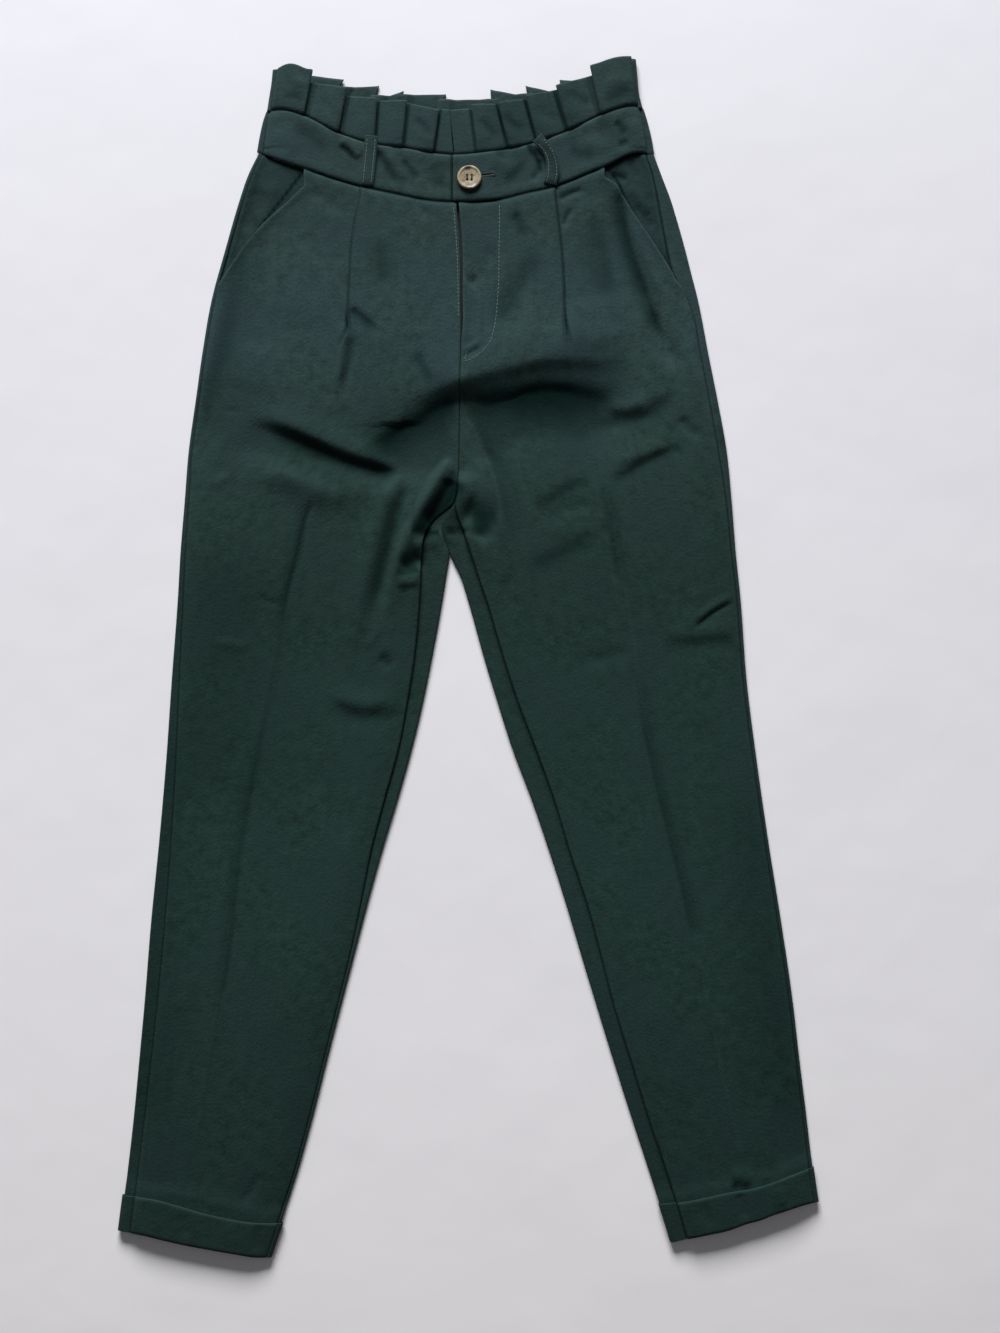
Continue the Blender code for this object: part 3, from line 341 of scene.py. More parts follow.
# ------------------------------------------------------------------- creases
# Each crease: height (a trough is negative), its half width on the left and on
# the right of its line, how much of the line it takes to come up and to die
# away, 1 if it is a sharp one, and the line.
CREASES = {
    "both": [
        (-6.2, 15, 32, .30, .0, 0, [(-82.5, 166.2), (-58.6, 178.9), (-36.5, 191.7), (-17, 201.9), (-4.2, 207)]),
        (-7.2, 16, 44, .0, .30, 0, [(-14.4, 201.9), (9.3, 203.6), (30.6, 208.7), (56.9, 214.6), (81.6, 214.6), (111.3, 211.2), (145.3, 211.2)]),
        (-1.8, 6, 8, .25, .3, 0, [(39.9, 218.9), (68.8, 224.8), (97.8, 220.6)]),
        (3.2, 26, 9, .30, .25, 0, [(-60.4, 212.1), (-43.4, 223.1), (-16.1, 235), (17.8, 244.4), (60.4, 254.6), (111.3, 254.6), (145.3, 251.2)]),
        (0.9, 9, 9, .2, .3, 0, [(-8.5, 247.8), (-8.5, 218.9), (-8.5, 184.9)]),
    ],
    "right": [
        (-3.4, 4.5, 13, .45, .08, 0, [(-201.4, 198.5), (-175.9, 193.4), (-141.1, 182.3), (-106.2, 167), (-75.6, 158.5), (-56.9, 155.1)]),
        (-2.6, 15, 12, .3, .3, 0, [(-206.5, 184.9), (-175.9, 174.7), (-141.1, 166.2), (-109.6, 156)]),
        (2.4, 12, 5, .25, .15, 0, [(-186.2, 209.5), (-152.2, 197.6), (-118.1, 182.3), (-84.1, 170.4), (-59.5, 164.5)]),
        
        (2.4, 7, 12, .3, .3, 0, [(-179.3, 164.5), (-150.4, 152.6), (-125, 140.7), (-105.4, 129.6)]),
        (1.3, 12, 12, .3, .3, 0, [(-122.4, 140.7), (-99.5, 139), (-74, 147.5)]),
        (2.8, 9, 11, .12, .35, 0, [(-59.5, 154.3), (-69.7, 129.6), (-77.3, 99.9), (-85, 65.9), (-92.6, 30.2), (-99.5, -2.1)]),
        (-2.8, 7, 9, .12, .3, 0, [(-51.9, 150.9), (-57.8, 133.9), (-64.6, 108.4), (-70.5, 82.9), (-78.2, 53.1), (-89.2, 23.4)]),
        # the roll of cloth beside the crotch, and the troughs behind it
        (5.6, 10, 3.6, .12, .45, 0, [(-9.3, 177.2), (-18.7, 166.2), (-27.2, 152.6), (-37.4, 133.9), (-47.6, 114.3), (-56.9, 93.9), (-62, 74.4), (-65.5, 52.3), (-68, 30.2)]),
        (-8.5, 8, 8, .10, .22, 0, [(-10.2, 149.2), (-16.1, 136.4), (-25.5, 122), (-34.9, 109.2)]),
        (-3.6, 6, 7, .2, .25, 0, [(-39.9, 86.3), (-51, 79.5), (-59.5, 75.2)]),
        (-1.2, 2.5, 3, .2, .3, 0, [(-14.4, 190), (-11.9, 179.8), (-9.3, 169.6)]),
        (2.2, 5, 5, .2, .2, 0, [(-24.6, 99), (-36.5, 97.3), (-47.6, 95.6)]),
        (1.8, 4, 6, .2, .2, 0, [(-41.6, 65.9), (-51.9, 64.2), (-61.2, 62.5)]),
        # the pressed crease down the leg
        (1.2, 1.8, 8, .05, .25, 1, [(-133.4, 143.2), (-141.1, 123.7), (-147, 93.9), (-153, 71), (-158.9, 47.2), (-164, 14), (-170.8, -24.2), (-181, -79.5), (-189.5, -122.8), (-198, -175.5)]),
        (-0.7, 3, 3, .1, .4, 0, [(-130.9, 133.9), (-138.5, 116.9), (-144.5, 91.4), (-150.4, 68.4), (-156.4, 43.8), (-161.5, 13.2)]),
        (0.75, 1.8, 7, .2, .1, 1, [(-189.5, -122.8), (-198, -175.5), (-206.5, -252.9), (-215, -299.6), (-222.7, -347.2), (-230.3, -394), (-235.4, -427.1)]),
        (-2.6, 8, 9, .2, .2, 0, [(-179.3, 405.9), (-185.3, 380.4), (-191.2, 354.9), (-197.2, 325.1), (-200.6, 299.6), (-205.7, 265.6), (-215.9, 231.6), (-222.7, 206.1), (-226.1, 178.1), (-229.5, 142.4)]),
        (0.9, 22, 22, .3, .3, 0, [(-175.9, 269.9), (-186.2, 242.7), (-191.2, 222.3)]),
        (1.0, 30, 26, .3, .3, 0, [(-143.7, 354.9), (-147, 312.4), (-152.2, 278.4)]),
        (-0.9, 5, 6, .3, .3, 0, [(-135.2, 398.2), (-118.1, 386.3), (-104.5, 375.3)]),
        (-1.5, 3, 6, .1, .5, 0, [(-101.1, 296.2), (-91, 288.6), (-72.2, 272.4)]),
        (-1.5, 4, 3, .2, .4, 0, [(-99.5, 275), (-101.1, 256.3), (-105.4, 235.9), (-108.8, 217.2)]),
        (0.8, 3, 6, .2, .3, 0, [(-107.1, 288.6), (-105.4, 265.6), (-111.3, 237.6), (-114.8, 222.3)]),
        (-1.0, 5, 6, .3, .3, 0, [(-46.8, 261.4), (-38.2, 246.1), (-28.1, 227.4)]),
        (-0.9, 5, 6, .3, .3, 0, [(-51.9, 391.4), (-41.6, 382.1), (-33.1, 370.2)]),
        (-0.6, 12, 12, .3, .3, 0, [(-71.4, 358.3), (-75.6, 336.2), (-65.5, 310.7)]),
        (-0.5, 1.6, 2.5, .3, .3, 0, [(-209.9, 211.2), (-201.4, 209.5), (-192.9, 209.5)]),
        (-0.9, 1.6, 4, .3, .2, 0, [(-179.3, 54.8), (-171.7, 48.9), (-161.5, 44.6)]),
        (0.8, 3, 5, .3, .3, 0, [(-219.3, 143.2), (-209.9, 151.7), (-201.4, 156)]),
        (0.7, 3, 5, .3, .3, 0, [(-218.4, 12.3), (-203.2, 12.3), (-186.2, 8.1)]),
        (-1.4, 6, 6, .3, .3, 0, [(-76.5, 2.1), (-69.7, -3.8), (-64.6, -8.9)]),
        (0.7, 3, 4, .3, .3, 0, [(-73.1, 28.5), (-80.8, 16.6), (-88.4, 6.4)]),
        (1.1, 10, 5, .3, .3, 0, [(-126.6, -25.9), (-105.4, -36.1), (-85, -39.5), (-57.8, -32.7)]),
        (-1.2, 5, 8, .3, .3, 0, [(-118.1, -41.2), (-96, -49.7), (-72.2, -49.7), (-55.2, -41.2)]),
        (-0.7, 14, 14, .3, .3, 0, [(-143.7, -87.1), (-118.1, -121.1), (-101.1, -163.6)]),
        (-0.8, 10, 12, .3, .3, 0, [(-237.2, -27.6), (-232, -87.1), (-238.8, -155.1)]),
        (0.6, 16, 16, .3, .3, 0, [(-143.7, -206.1), (-155.5, -274.1), (-169.2, -342.1)]),
        (-0.5, 10, 10, .3, .3, 0, [(-245.7, -291.1), (-250.8, -359.1), (-257.6, -418.6)]),
        (0.8, 7, 4, .3, .3, 0, [(-271.1, -449.2), (-237.2, -457.7), (-194.7, -467.9), (-169.2, -473)]),
        (-1.0, 4, 4, .3, .3, 0, [(-194.7, -465.4), (-184.4, -452.6), (-175.9, -435.6)]),
    ],
    "left": [
        (-1.9, 5, 8, .2, .3, 0, [(104.5, 205.3), (128.3, 201.9), (149.6, 205.3), (164, 216.3), (177.7, 229.1)]),
        (1.4, 7, 5, .3, .3, 0, [(114.8, 215.5), (135.2, 212.9), (153.8, 222.3)]),
        (-1.5, 5, 5, .2, .3, 0, [(181, 205.3), (187, 193.4), (198, 186.6)]),
        (-1.6, 3, 6, .25, .3, 0, [(113.9, 150.9), (130.9, 155.1), (147, 164.5), (168.3, 174.7), (187.8, 180.6)]),
        (1.0, 8, 4, .3, .3, 0, [(119.8, 162.8), (145.3, 173), (170.8, 183.2)]),
        (-1.2, 5, 8, .3, .3, 0, [(51.9, 122.8), (73.1, 136.4), (90.1, 146.6), (106.2, 153.4)]),
        (-0.9, 6, 9, .3, .3, 0, [(41.6, 71), (64.6, 82), (85.8, 93.1), (113, 109.2)]),
        (-0.8, 5, 6, .3, .3, 0, [(60.4, 113.5), (85.8, 127.1), (111.3, 130.5)]),
        # the fold from the fly down towards the crotch
        (2.6, 3.2, 10, .1, .35, 1, [(-6, 221.4), (0.8, 202.7), (10.2, 180.6), (18.7, 159.4), (25.5, 140.7), (30.6, 120.3), (34, 104.1), (37.4, 82.9), (39.9, 65.9)]),
        (-1.4, 7, 4, .2, .4, 0, [(4.2, 201.9), (15.3, 179.8), (24.6, 159.4), (31.4, 140.7)]),
        (-3.2, 15, 9, .2, .2, 0, [(-6, 125.4), (6, 121.1), (16.1, 117.7), (27.2, 116)]),
        (-2.0, 6, 6, .25, .3, 0, [(19.6, 110.9), (12.8, 105), (6.8, 99.9)]),
        (4.6, 9, 2.5, .15, .3, 0, [(-8.5, 159.4), (-9.3, 142.4), (-11, 131.3), (-17.8, 122.8), (-22.1, 115.2), (-21.2, 105), (-17, 92.2)]),
        (-1.9, 2.5, 3.0, .2, .2, 0, [(-21.2, 107.5), (-11, 105.8), (-0.8, 107.5)]),
        (0.8, 2.2, 8, .0, .0, 0, [(0.8, 103.3), (9.3, 95.6)]),
        # the pressed crease down the leg
        (1.25, 9, 1.8, .1, .25, 1, [(97.8, 215.5), (104.5, 188.3), (112.2, 159.4), (120.7, 120.3), (126.6, 88), (131.8, 57.4), (137.7, 27.6), (142.8, -8.9), (149.6, -53.1), (158.1, -88.8), (170, -140.7), (182.8, -192.5)]),
        (-0.9, 2.6, 3, .2, .3, 0, [(113.9, 120.3), (119.8, 88), (125.8, 54)]),
        (0.8, 8, 1.8, .2, .1, 1, [(170, -140.7), (182.8, -192.5), (192.9, -244.4), (203.2, -291.1), (216.8, -360.8), (236.3, -443.3)]),
        (-1.3, 1.5, 3, .25, .2, 0, [(187.8, 22.5), (198.9, 32.7), (210.8, 41.2), (225.2, 48.9)]),
        (0.8, 4, 1.6, .25, .2, 0, [(189.5, 27.6), (200.6, 37), (213.3, 45.5), (225.2, 51.4)]),
        (-0.7, 6, 9, .4, .1, 0, [(155.5, 6.4), (179.3, 10.6), (227.8, 14)]),
        (0.7, 9, 6, .3, .1, 0, [(162.3, 21.7), (196.3, 20), (228.7, 25.1)]),
        (-0.8, 6, 8, .3, .3, 0, [(90.1, -2.1), (115.6, -0.4), (140.2, 8.1)]),
        (-1.0, 6, 6, .3, .3, 0, [(30.6, 72.7), (32.3, 55.7), (37.4, 35.3)]),
        # the fold along the pocket, and what runs on from it
        (-3.0, 2.6, 9, .15, .2, 0, [(128.3, 400.8), (131.8, 370.2), (138.5, 343), (147.9, 317.5), (158.1, 290.3)]),
        (1.5, 7, 3, .2, .3, 0, [(136.8, 375.3), (146.2, 348.1), (157.2, 320.9), (169.2, 293.7)]),
        (-2.6, 6, 6, .3, .3, 0, [(152.2, 302.2), (162.3, 276.7), (171.7, 258.8), (182.8, 241)]),
        (0.9, 6, 8, .3, .3, 0, [(174.2, 278.4), (189.5, 251.2), (198, 220.6)]),
        (-1.1, 9, 9, .3, .3, 0, [(65.5, 348.1), (45, 320.9), (30.6, 295.4), (23.8, 271.6)]),
        (0.8, 9, 9, .3, .3, 0, [(60.4, 303.9), (50.1, 278.4), (43.4, 259.7)]),
        (-1.2, 4, 5, .3, .3, 0, [(37.4, 378.7), (42.5, 368.5), (49.3, 355.7)]),
        (-0.8, 2, 2.4, .2, .2, 0, [(-6.8, 254.6), (1.7, 258.8), (10.2, 263.9)]),
        (0.6, 2, 2, .2, .2, 0, [(-3.4, 260.5), (4.2, 264.8), (11.9, 271.6)]),
        (-1.3, 4, 4, .3, .3, 0, [(-0.8, 315.8), (3.4, 319.2), (7.6, 321.7)]),
        (-1.0, 7, 7, .3, .3, 0, [(7.6, 312.4), (14.4, 336.2), (22.1, 351.5)]),
        (0.6, 3, 3, .3, .3, 0, [(8.5, 314.1), (9.3, 290.3), (9.3, 268.2)]),
        (-1.5, 2.2, 3, .1, .3, 0, [(76.5, 388.9), (85.8, 394), (99.5, 398.2)]),
        (-1.5, 2, 3, .1, .3, 0, [(80.8, 365.9), (83.3, 374.4), (88.4, 382.1)]),
        (-0.8, 8, 8, .3, .3, 0, [(102.8, 376.1), (111.3, 358.3), (114.8, 336.2)]),
        (1.0, 26, 26, .3, .3, 0, [(111.3, 312.4), (114.8, 278.4), (118.1, 259.7)]),
        (-0.7, 14, 14, .3, .3, 0, [(77.3, -87.1), (102.8, -138.1), (119.8, -206.1)]),
        (-0.6, 12, 12, .3, .3, 0, [(196.3, -36.1), (209.9, -104.1), (218.4, -172.1)]),
        (0.6, 16, 16, .3, .3, 0, [(153.8, -274.1), (170.8, -333.6), (187.8, -384.6)]),
        (-0.6, 10, 10, .3, .3, 0, [(230.3, -291.1), (243.9, -342.1), (255.8, -393.1)]),
        (-1.5, 3.5, 5, .25, .25, 0, [(221.8, -452.6), (230.3, -449.2), (240.5, -452.6)]),
        (1.0, 5, 4, .3, .3, 0, [(220.2, -444.1), (232, -439), (245.7, -442.4)]),
    ],
    # painted shade in the folds, where shade lies: how strong, then as the creases
    "hollow": [
        (0.45, 9, 24, .25, .1, 0, [(-101.1, 181.5), (-71.4, 185.7), (-45.9, 195.9), (-16.1, 206.1)]),
        (0.24, 62, 62, .25, .25, 0, [(-206.5, 116.9), (-209.9, 14.9), (-216.8, -70.1), (-223.5, -155.1)]),
        (0.45, 4, 6, .3, .3, 0, [(37.4, 383.8), (42.5, 368.5), (51, 351.5)]),
        (0.35, 14, 20, .3, .3, 0, [(77.3, 278.4), (102.8, 261.4), (145.3, 247.8)]),
        (0.40, 2, 2.5, .2, .2, 0, [(-6.8, 254.6), (1.7, 258.8), (10.2, 263.9)]),
        (0.95, 10, 19, .16, .2, 0, [(-7.6, 215.5), (14.4, 221.4), (39.1, 224.8), (61.2, 227.4), (80.8, 227.4), (104.5, 223.1), (130, 217.2)]),
        (0.75, 7, 26, .25, .25, 0, [(26.3, 222.3), (61.2, 226.5), (102.8, 224)]),
        (0.35, 4, 52, .2, .2, 0, [(-6, 208.7), (39.1, 216.3), (80.8, 218), (130, 209.5)]),
        (0.84, 7, 15, .25, .10, 0, [(-91, 174.7), (-68.8, 188.3), (-46.8, 201.9), (-24.6, 212.9), (-9.3, 218)]),
        (0.66, 1.8, 11, .50, .10, 0, [(-189.5, 203.6), (-162.3, 195.1), (-141.1, 187.4), (-106.2, 171.3), (-75.6, 161.9), (-58.6, 159.4)]),
        (0.35, 14, 26, .3, .3, 0, [(-181, 188.3), (-141.1, 169.6), (-101.1, 156), (-65.5, 145.8)]),
        (0.97, 9, 8, .12, .12, 0, [(-9.3, 152.6), (-15.3, 137.3), (-23.8, 124.5), (-33.1, 114.3), (-46.8, 108.4)]),
        (0.95, 9, 2.0, .1, .1, 0, [(-50.1, 107.5), (-37.4, 106.7), (-22.1, 105)]),
        (0.70, 11, 2.0, .15, .15, 0, [(-63.8, 72.7), (-53.5, 71.8), (-41.6, 75.2)]),
        (0.55, 8, 8, .15, .3, 0, [(-9.3, 159.4), (-21.2, 143.2), (-33.1, 127.1), (-45, 108.4)]),
        (0.75, 10, 10, .2, .2, 0, [(-5.1, 140.7), (2.5, 128.8), (11, 116.9), (7.6, 99.9)]),
        (0.60, 7, 9, .2, .2, 0, [(0.8, 116.9), (12.8, 117.7), (26.3, 119.4)]),
        (0.85, 2.6, 2.6, .2, .2, 0, [(-20.4, 109.2), (-11, 108.4), (0, 107.5)]),
        (0.42, 10, 1.2, .08, .25, 0, [(-6.8, 220.6), (3.4, 201), (16.1, 173.8), (25.5, 146.6), (30.6, 118.6), (34.9, 93.1)]),
        (0.40, 5, 9, .1, .3, 0, [(-54.4, 149.2), (-60.4, 132.2), (-67.1, 108.4), (-73.1, 82.9), (-80.8, 53.1), (-91, 23.4)]),
        (0.45, 3, 7, .2, .3, 0, [(-131.8, 140.7), (-139.4, 120.3), (-145.3, 91.4), (-151.3, 68.4), (-157.2, 43.8), (-162.3, 13.2)]),
        (0.34, 2.5, 7, .3, .1, 0, [(-169.2, -25.9), (-179.3, -79.5), (-187.8, -122.8), (-196.3, -175.5), (-204.8, -252.9), (-213.3, -299.6)]),
        (0.42, 7, 2.5, .2, .3, 0, [(109.6, 156), (118.1, 120.3), (124.1, 88), (129.2, 57.4)]),
        (0.42, 7, 2.0, .3, .1, 0, [(140.2, 6.4), (147, -44.6), (155.5, -88.8), (167.4, -140.7), (181, -192.5), (191.2, -244.4)]),
        (0.45, 16, 12, .25, .15, 0, [(-175.9, 400.8), (-182.8, 377), (-189.5, 349.8), (-196.3, 320.9), (-203.2, 288.6), (-209.9, 256.3), (-218.4, 222.3), (-224.4, 179.8)]),
        (0.50, 2.0, 8, .2, .3, 0, [(113.9, 150), (130.9, 154.3), (147, 163.6), (168.3, 173.8), (187.8, 179.8)]),
        (0.55, 3, 9, .2, .3, 0, [(104.5, 205.3), (128.3, 201.9), (149.6, 205.3), (164, 216.3), (177.7, 229.1)]),
        (0.50, 3, 9, .3, .3, 0, [(51.9, 122.8), (73.1, 136.4), (90.1, 146.6), (106.2, 153.4)]),
        (0.45, 4, 10, .3, .3, 0, [(41.6, 71), (64.6, 82), (85.8, 93.1), (113, 109.2)]),
        (0.80, 1.3, 2.4, .25, .2, 0, [(187.8, 22.5), (198.9, 32.7), (210.8, 41.2), (225.2, 48.9)]),
        (0.26, 4, 8, .4, .1, 0, [(155.5, 8.1), (179.3, 12.3), (227.8, 15.7)]),
        (0.80, 2.5, 9, .15, .2, 0, [(128.3, 399.1), (131.8, 370.2), (138.5, 343), (147.9, 317.5), (158.1, 290.3), (169.2, 261.4)]),
        (0.45, 6, 14, .3, .3, 0, [(104.5, 383.8), (111.3, 358.3), (116.5, 329.4), (121.5, 295.4)]),
        (0.45, 3, 8, .2, .4, 0, [(-99.5, 275), (-101.1, 256.3), (-105.4, 235.9), (-108.8, 217.2)]),
        (0.60, 3, 7, .1, .5, 0, [(-101.1, 296.2), (-91, 288.6), (-72.2, 272.4)]),
        (0.45, 3, 6, .3, .3, 0, [(-46.8, 261.4), (-38.2, 246.1), (-28.1, 227.4)]),
        (0.38, 9, 9, .3, .3, 0, [(-71.4, 358.3), (-75.6, 336.2), (-65.5, 310.7)]),
        (0.42, 9, 9, .3, .3, 0, [(65.5, 348.1), (45, 320.9), (30.6, 295.4), (23.8, 271.6)]),
        (0.40, 4, 5, .3, .3, 0, [(-76.5, 2.1), (-69.7, -3.8), (-64.6, -8.9)]),
        (0.40, 5, 8, .3, .3, 0, [(-118.1, -41.2), (-96, -49.7), (-72.2, -49.7), (-55.2, -41.2)]),
        (0.50, 3, 7, .3, .3, 0, [(220.2, -452.6), (230.3, -449.2), (242.2, -452.6)]),
        (0.30, 30, 22, .2, .2, 0, [(-255.8, -36.1), (-262.6, -121.1), (-269.4, -206.1), (-277.9, -291.1), (-284.8, -376.1), (-291.6, -444.1)]),
        (0.26, 22, 30, .2, .2, 0, [(226.9, -87.1), (240.5, -172.1), (254.2, -257.1), (267.8, -342.1), (281.3, -427.1)]),
    ],
    # the band's and the frill's shadows in their folds
    "dusk": [
        (0.26, 22, 22, .25, .25, 0, [(4.2, 458.6), (26.3, 458.6), (51.9, 460.3), (77.3, 467.1), (104.5, 475.6)]),
        (0.50, 3, 4, .3, .3, 0, [(31.4, 463.7), (36.5, 453.5), (48.4, 445)]),
        (0.45, 3, 4, .3, .3, 0, [(9.3, 458.6), (16.1, 450.1), (26.3, 439.9)]),
        (0.40, 3, 4, .3, .3, 0, [(-48.4, 456.9), (-38.2, 451.8), (-33.1, 439.9)]),
        (0.40, 4, 4, .3, .3, 0, [(-158.9, 473.9), (-148.8, 475.6), (-138.5, 471.3)]),
        (0.40, 4, 4, .3, .3, 0, [(82.5, 480.7), (92.6, 475.6), (104.5, 467.1)]),
        (0.45, 5, 5, .3, .3, 0, [(113, 477.3), (125, 475.6), (138.5, 484.1)]),
        (0.55, 3, 4, .2, .3, 0, [(-111.3, 434.8), (-102.8, 428.8), (-94.3, 420.3)]),
        (0.60, 3, 4, .1, .3, 0, [(-77.3, 430.5), (-70.5, 418.6), (-59.5, 399.1)]),
        (0.50, 3, 4, .2, .3, 0, [(-56.9, 422.9), (-50.1, 414.4), (-40.8, 404.2)]),
        (0.35, 6, 6, .2, .3, 0, [(-33.1, 418.6), (-26.3, 405.9), (-24.6, 395.7)]),
        (0.35, 6, 6, .3, .3, 0, [(-152.2, 450.1), (-133.4, 439.9), (-118.1, 424.6)]),
        (0.45, 4, 5, .3, .3, 0, [(22.9, 422.9), (28.9, 429.7), (36.5, 431.4)]),
        (0.50, 4, 5, .3, .3, 0, [(26.3, 400.8), (38.2, 409.3), (50.1, 421.2)]),
        (0.97, 2.3, 2.3, .1, .2, 0, [(50.1, 437.3), (52.7, 431.4), (56.9, 425.4), (59.5, 419.5), (62, 410.1)]),
        (0.95, 2.6, 2.6, .2, .2, 0, [(51, 436.5), (53.5, 429.7), (58.6, 428)]),
        (0.60, 3, 3.5, .3, .3, 0, [(122.4, 455.2), (127.5, 451.8), (134.3, 442.4)]),
        (0.50, 3, 3, .3, .3, 0, [(125.8, 433.9), (130, 435.6), (136.8, 439)]),
        (0.35, 5, 5, .3, .3, 0, [(82.5, 431.4), (94.3, 426.3), (109.6, 422.9)]),
        (0.30, 7, 7, .3, .3, 0, [(102.8, 463.7), (116.5, 453.5), (145.3, 439.9)]),
    ],
    # the pockets' backs
    "facing": [
        (-1.4, 6, 6, .2, .2, 0, [(-175.9, 400.8), (-181, 383.8), (-188.7, 361.7)]),
        (0.8, 5, 5, .2, .2, 0, [(-164, 405.9), (-170.8, 388.9), (-179.3, 366.8)]),
        (-2.2, 3, 4, .2, .2, 0, [(121.5, 411), (128.3, 408.4), (135.2, 405.9)]),
        (-1.2, 3, 4, .2, .2, 0, [(137.7, 424.6), (140.2, 414.4), (145.3, 407.6)]),
        (1.2, 5, 5, .2, .2, 0, [(133.4, 400.8), (145.3, 390.6), (153.8, 377)]),
        (-1.2, 4, 4, .2, .2, 0, [(141.9, 385.5), (150.4, 371.9), (158.9, 365.1)]),
        (-0.8, 4, 4, .2, .2, 0, [(153.8, 397.4), (155.5, 377), (162.3, 354.9)]),
    ],
    # the waistband
    "band": [
        (1.5, 8, 3, .15, .2, 0, [(-108, 440.7), (-101.1, 433.9), (-92.6, 422.9)]),
        (-1.2, 3, 3, .2, .3, 0, [(-111.3, 434.8), (-102.8, 428.8), (-94.3, 420.3)]),
        (-1.3, 3, 4, .1, .3, 0, [(-77.3, 430.5), (-70.5, 418.6), (-59.5, 399.1)]),
        (1.0, 4, 4, .2, .3, 0, [(-68.8, 429.7), (-62, 417.8), (-51.9, 402.5)]),
        (-1.2, 3, 4, .2, .3, 0, [(-56.9, 422.9), (-50.1, 414.4), (-40.8, 404.2)]),
        (-0.6, 8, 8, .2, .3, 0, [(-33.1, 418.6), (-26.3, 405.9), (-24.6, 395.7)]),
        (-0.7, 6, 5, .3, .3, 0, [(-152.2, 450.1), (-133.4, 439.9), (-118.1, 424.6)]),
        (0.7, 9, 9, .3, .3, 0, [(-164, 451.8), (-155.5, 438.2), (-143.7, 426.3)]),
        (-0.9, 4, 5, .3, .3, 0, [(22.9, 422.9), (28.9, 429.7), (36.5, 431.4)]),
        (-0.8, 4, 5, .3, .3, 0, [(26.3, 400.8), (38.2, 409.3), (51.9, 422.9)]),
        (0.8, 6, 6, .3, .3, 0, [(14.4, 422.9), (26.3, 417.8), (43.4, 416.1)]),
        (-1.3, 3, 4, .2, .2, 0, [(51.9, 404.2), (58.6, 411), (61.2, 424.6)]),
        (-1.4, 3, 3.5, .3, .3, 0, [(122.4, 455.2), (127.5, 451.8), (134.3, 442.4)]),
        (-1.1, 3, 3, .3, .3, 0, [(125.8, 433.9), (130, 435.6), (136.8, 439)]),
        (0.9, 6, 6, .3, .3, 0, [(94.3, 439.9), (108, 434.8), (121.5, 431.4)]),
        (-0.8, 5, 5, .3, .3, 0, [(82.5, 431.4), (94.3, 426.3), (109.6, 422.9)]),
        (0.8, 5, 5, .3, .3, 0, [(136.8, 458.6), (141.9, 448.4), (145.3, 434.8)]),
    ],
    # the frill
    "frill": [
        (-0.9, 4, 4, .3, .3, 0, [(-158.9, 473.9), (-148.8, 475.6), (-138.5, 471.3)]),
        (0.7, 4, 4, .3, .3, 0, [(-152.2, 485.8), (-143.7, 487.5), (-135.2, 484.1)]),
        (-0.7, 4, 4, .3, .3, 0, [(-123.2, 473.9), (-116.5, 463.7), (-111.3, 453.5)]),
        (-0.9, 3, 4, .3, .3, 0, [(-48.4, 456.9), (-38.2, 451.8), (-33.1, 439.9)]),
        (-0.9, 3, 4, .3, .3, 0, [(9.3, 458.6), (16.1, 450.1), (26.3, 439.9)]),
        (-1.0, 3, 4, .3, .3, 0, [(31.4, 463.7), (36.5, 453.5), (50.1, 446.7)]),
        (-0.7, 4, 4, .3, .3, 0, [(56.9, 470.5), (63.8, 460.3), (77.3, 453.5)]),
        (-0.8, 4, 4, .3, .3, 0, [(82.5, 480.7), (92.6, 475.6), (104.5, 467.1)]),
        (-0.9, 5, 5, .3, .3, 0, [(113, 477.3), (125, 475.6), (138.5, 484.1)]),
        (0.8, 5, 5, .3, .3, 0, [(116.5, 490.9), (128.3, 487.5), (136.8, 496)]),
    ],
    # the turn-ups
    "turnup": [
        (-0.7, 5, 5, .3, .3, 0, [(-245.7, -471.3), (-242.2, -481.5), (-238.8, -493.4)]),
        (0.6, 6, 6, .3, .3, 0, [(-206.5, -479.8), (-201.4, -490), (-198, -501.9)]),
        (-0.8, 4, 4, .2, .3, 0, [(-175.9, -479.8), (-179.3, -491.7), (-181, -507)]),
        (-0.7, 5, 5, .3, .3, 0, [(198, -461.1), (201.4, -473), (206.5, -484.9)]),
        (-1.1, 3, 4, .2, .3, 0, [(228.7, -454.3), (232, -464.5), (235.4, -478.1)]),
        (0.6, 6, 6, .3, .3, 0, [(260.9, -447.5), (264.3, -457.7), (267.8, -466.2)]),
    ],
    # the hidden back: the cloth only lifts off the floor
    "back": [
        (0.9, 12, 20, .3, .3, 0, [(-203.2, 184.9), (-152.2, 174.7), (-101.1, 179.8), (-41.6, 201.9)]),
        (0.9, 14, 22, .3, .3, 0, [(0.8, 207), (60.4, 193.4), (119.8, 196.8), (179.3, 215.5)]),
        (0.9, 9, 14, .3, .3, 0, [(-186.2, 133.9), (-143.7, 125.4), (-92.6, 133.9), (-58.6, 147.5)]),
        (0.9, 9, 14, .3, .3, 0, [(26.3, 140.7), (77.3, 133.9), (128.3, 145.8), (187.8, 166.2)]),
        (0.6, 9, 9, .2, .3, 0, [(-50.1, 99.9), (-62, 57.4), (-68.8, 14.9)]),
        (0.6, 9, 9, .2, .3, 0, [(9.3, 99.9), (24.6, 57.4), (36.5, 14.9)]),
        (0.9, 3, 9, .1, .1, 1, [(-143.7, 159.4), (-164, 14.9), (-189.5, -121.1), (-206.5, -252.9), (-232, -418.6)]),
        (0.9, 9, 3, .1, .1, 1, [(104.5, 184.9), (136.8, 27.6), (170, -140.7), (203.2, -291.1), (234.6, -435.6)]),
        (0.8, 6, 12, .3, .3, 0, [(-228.7, -2.1), (-186.2, -12.3), (-135.2, -2.1)]),
        (0.8, 6, 12, .3, .3, 0, [(77.3, 6.4), (136.8, -8.9), (204.8, 4.7)]),
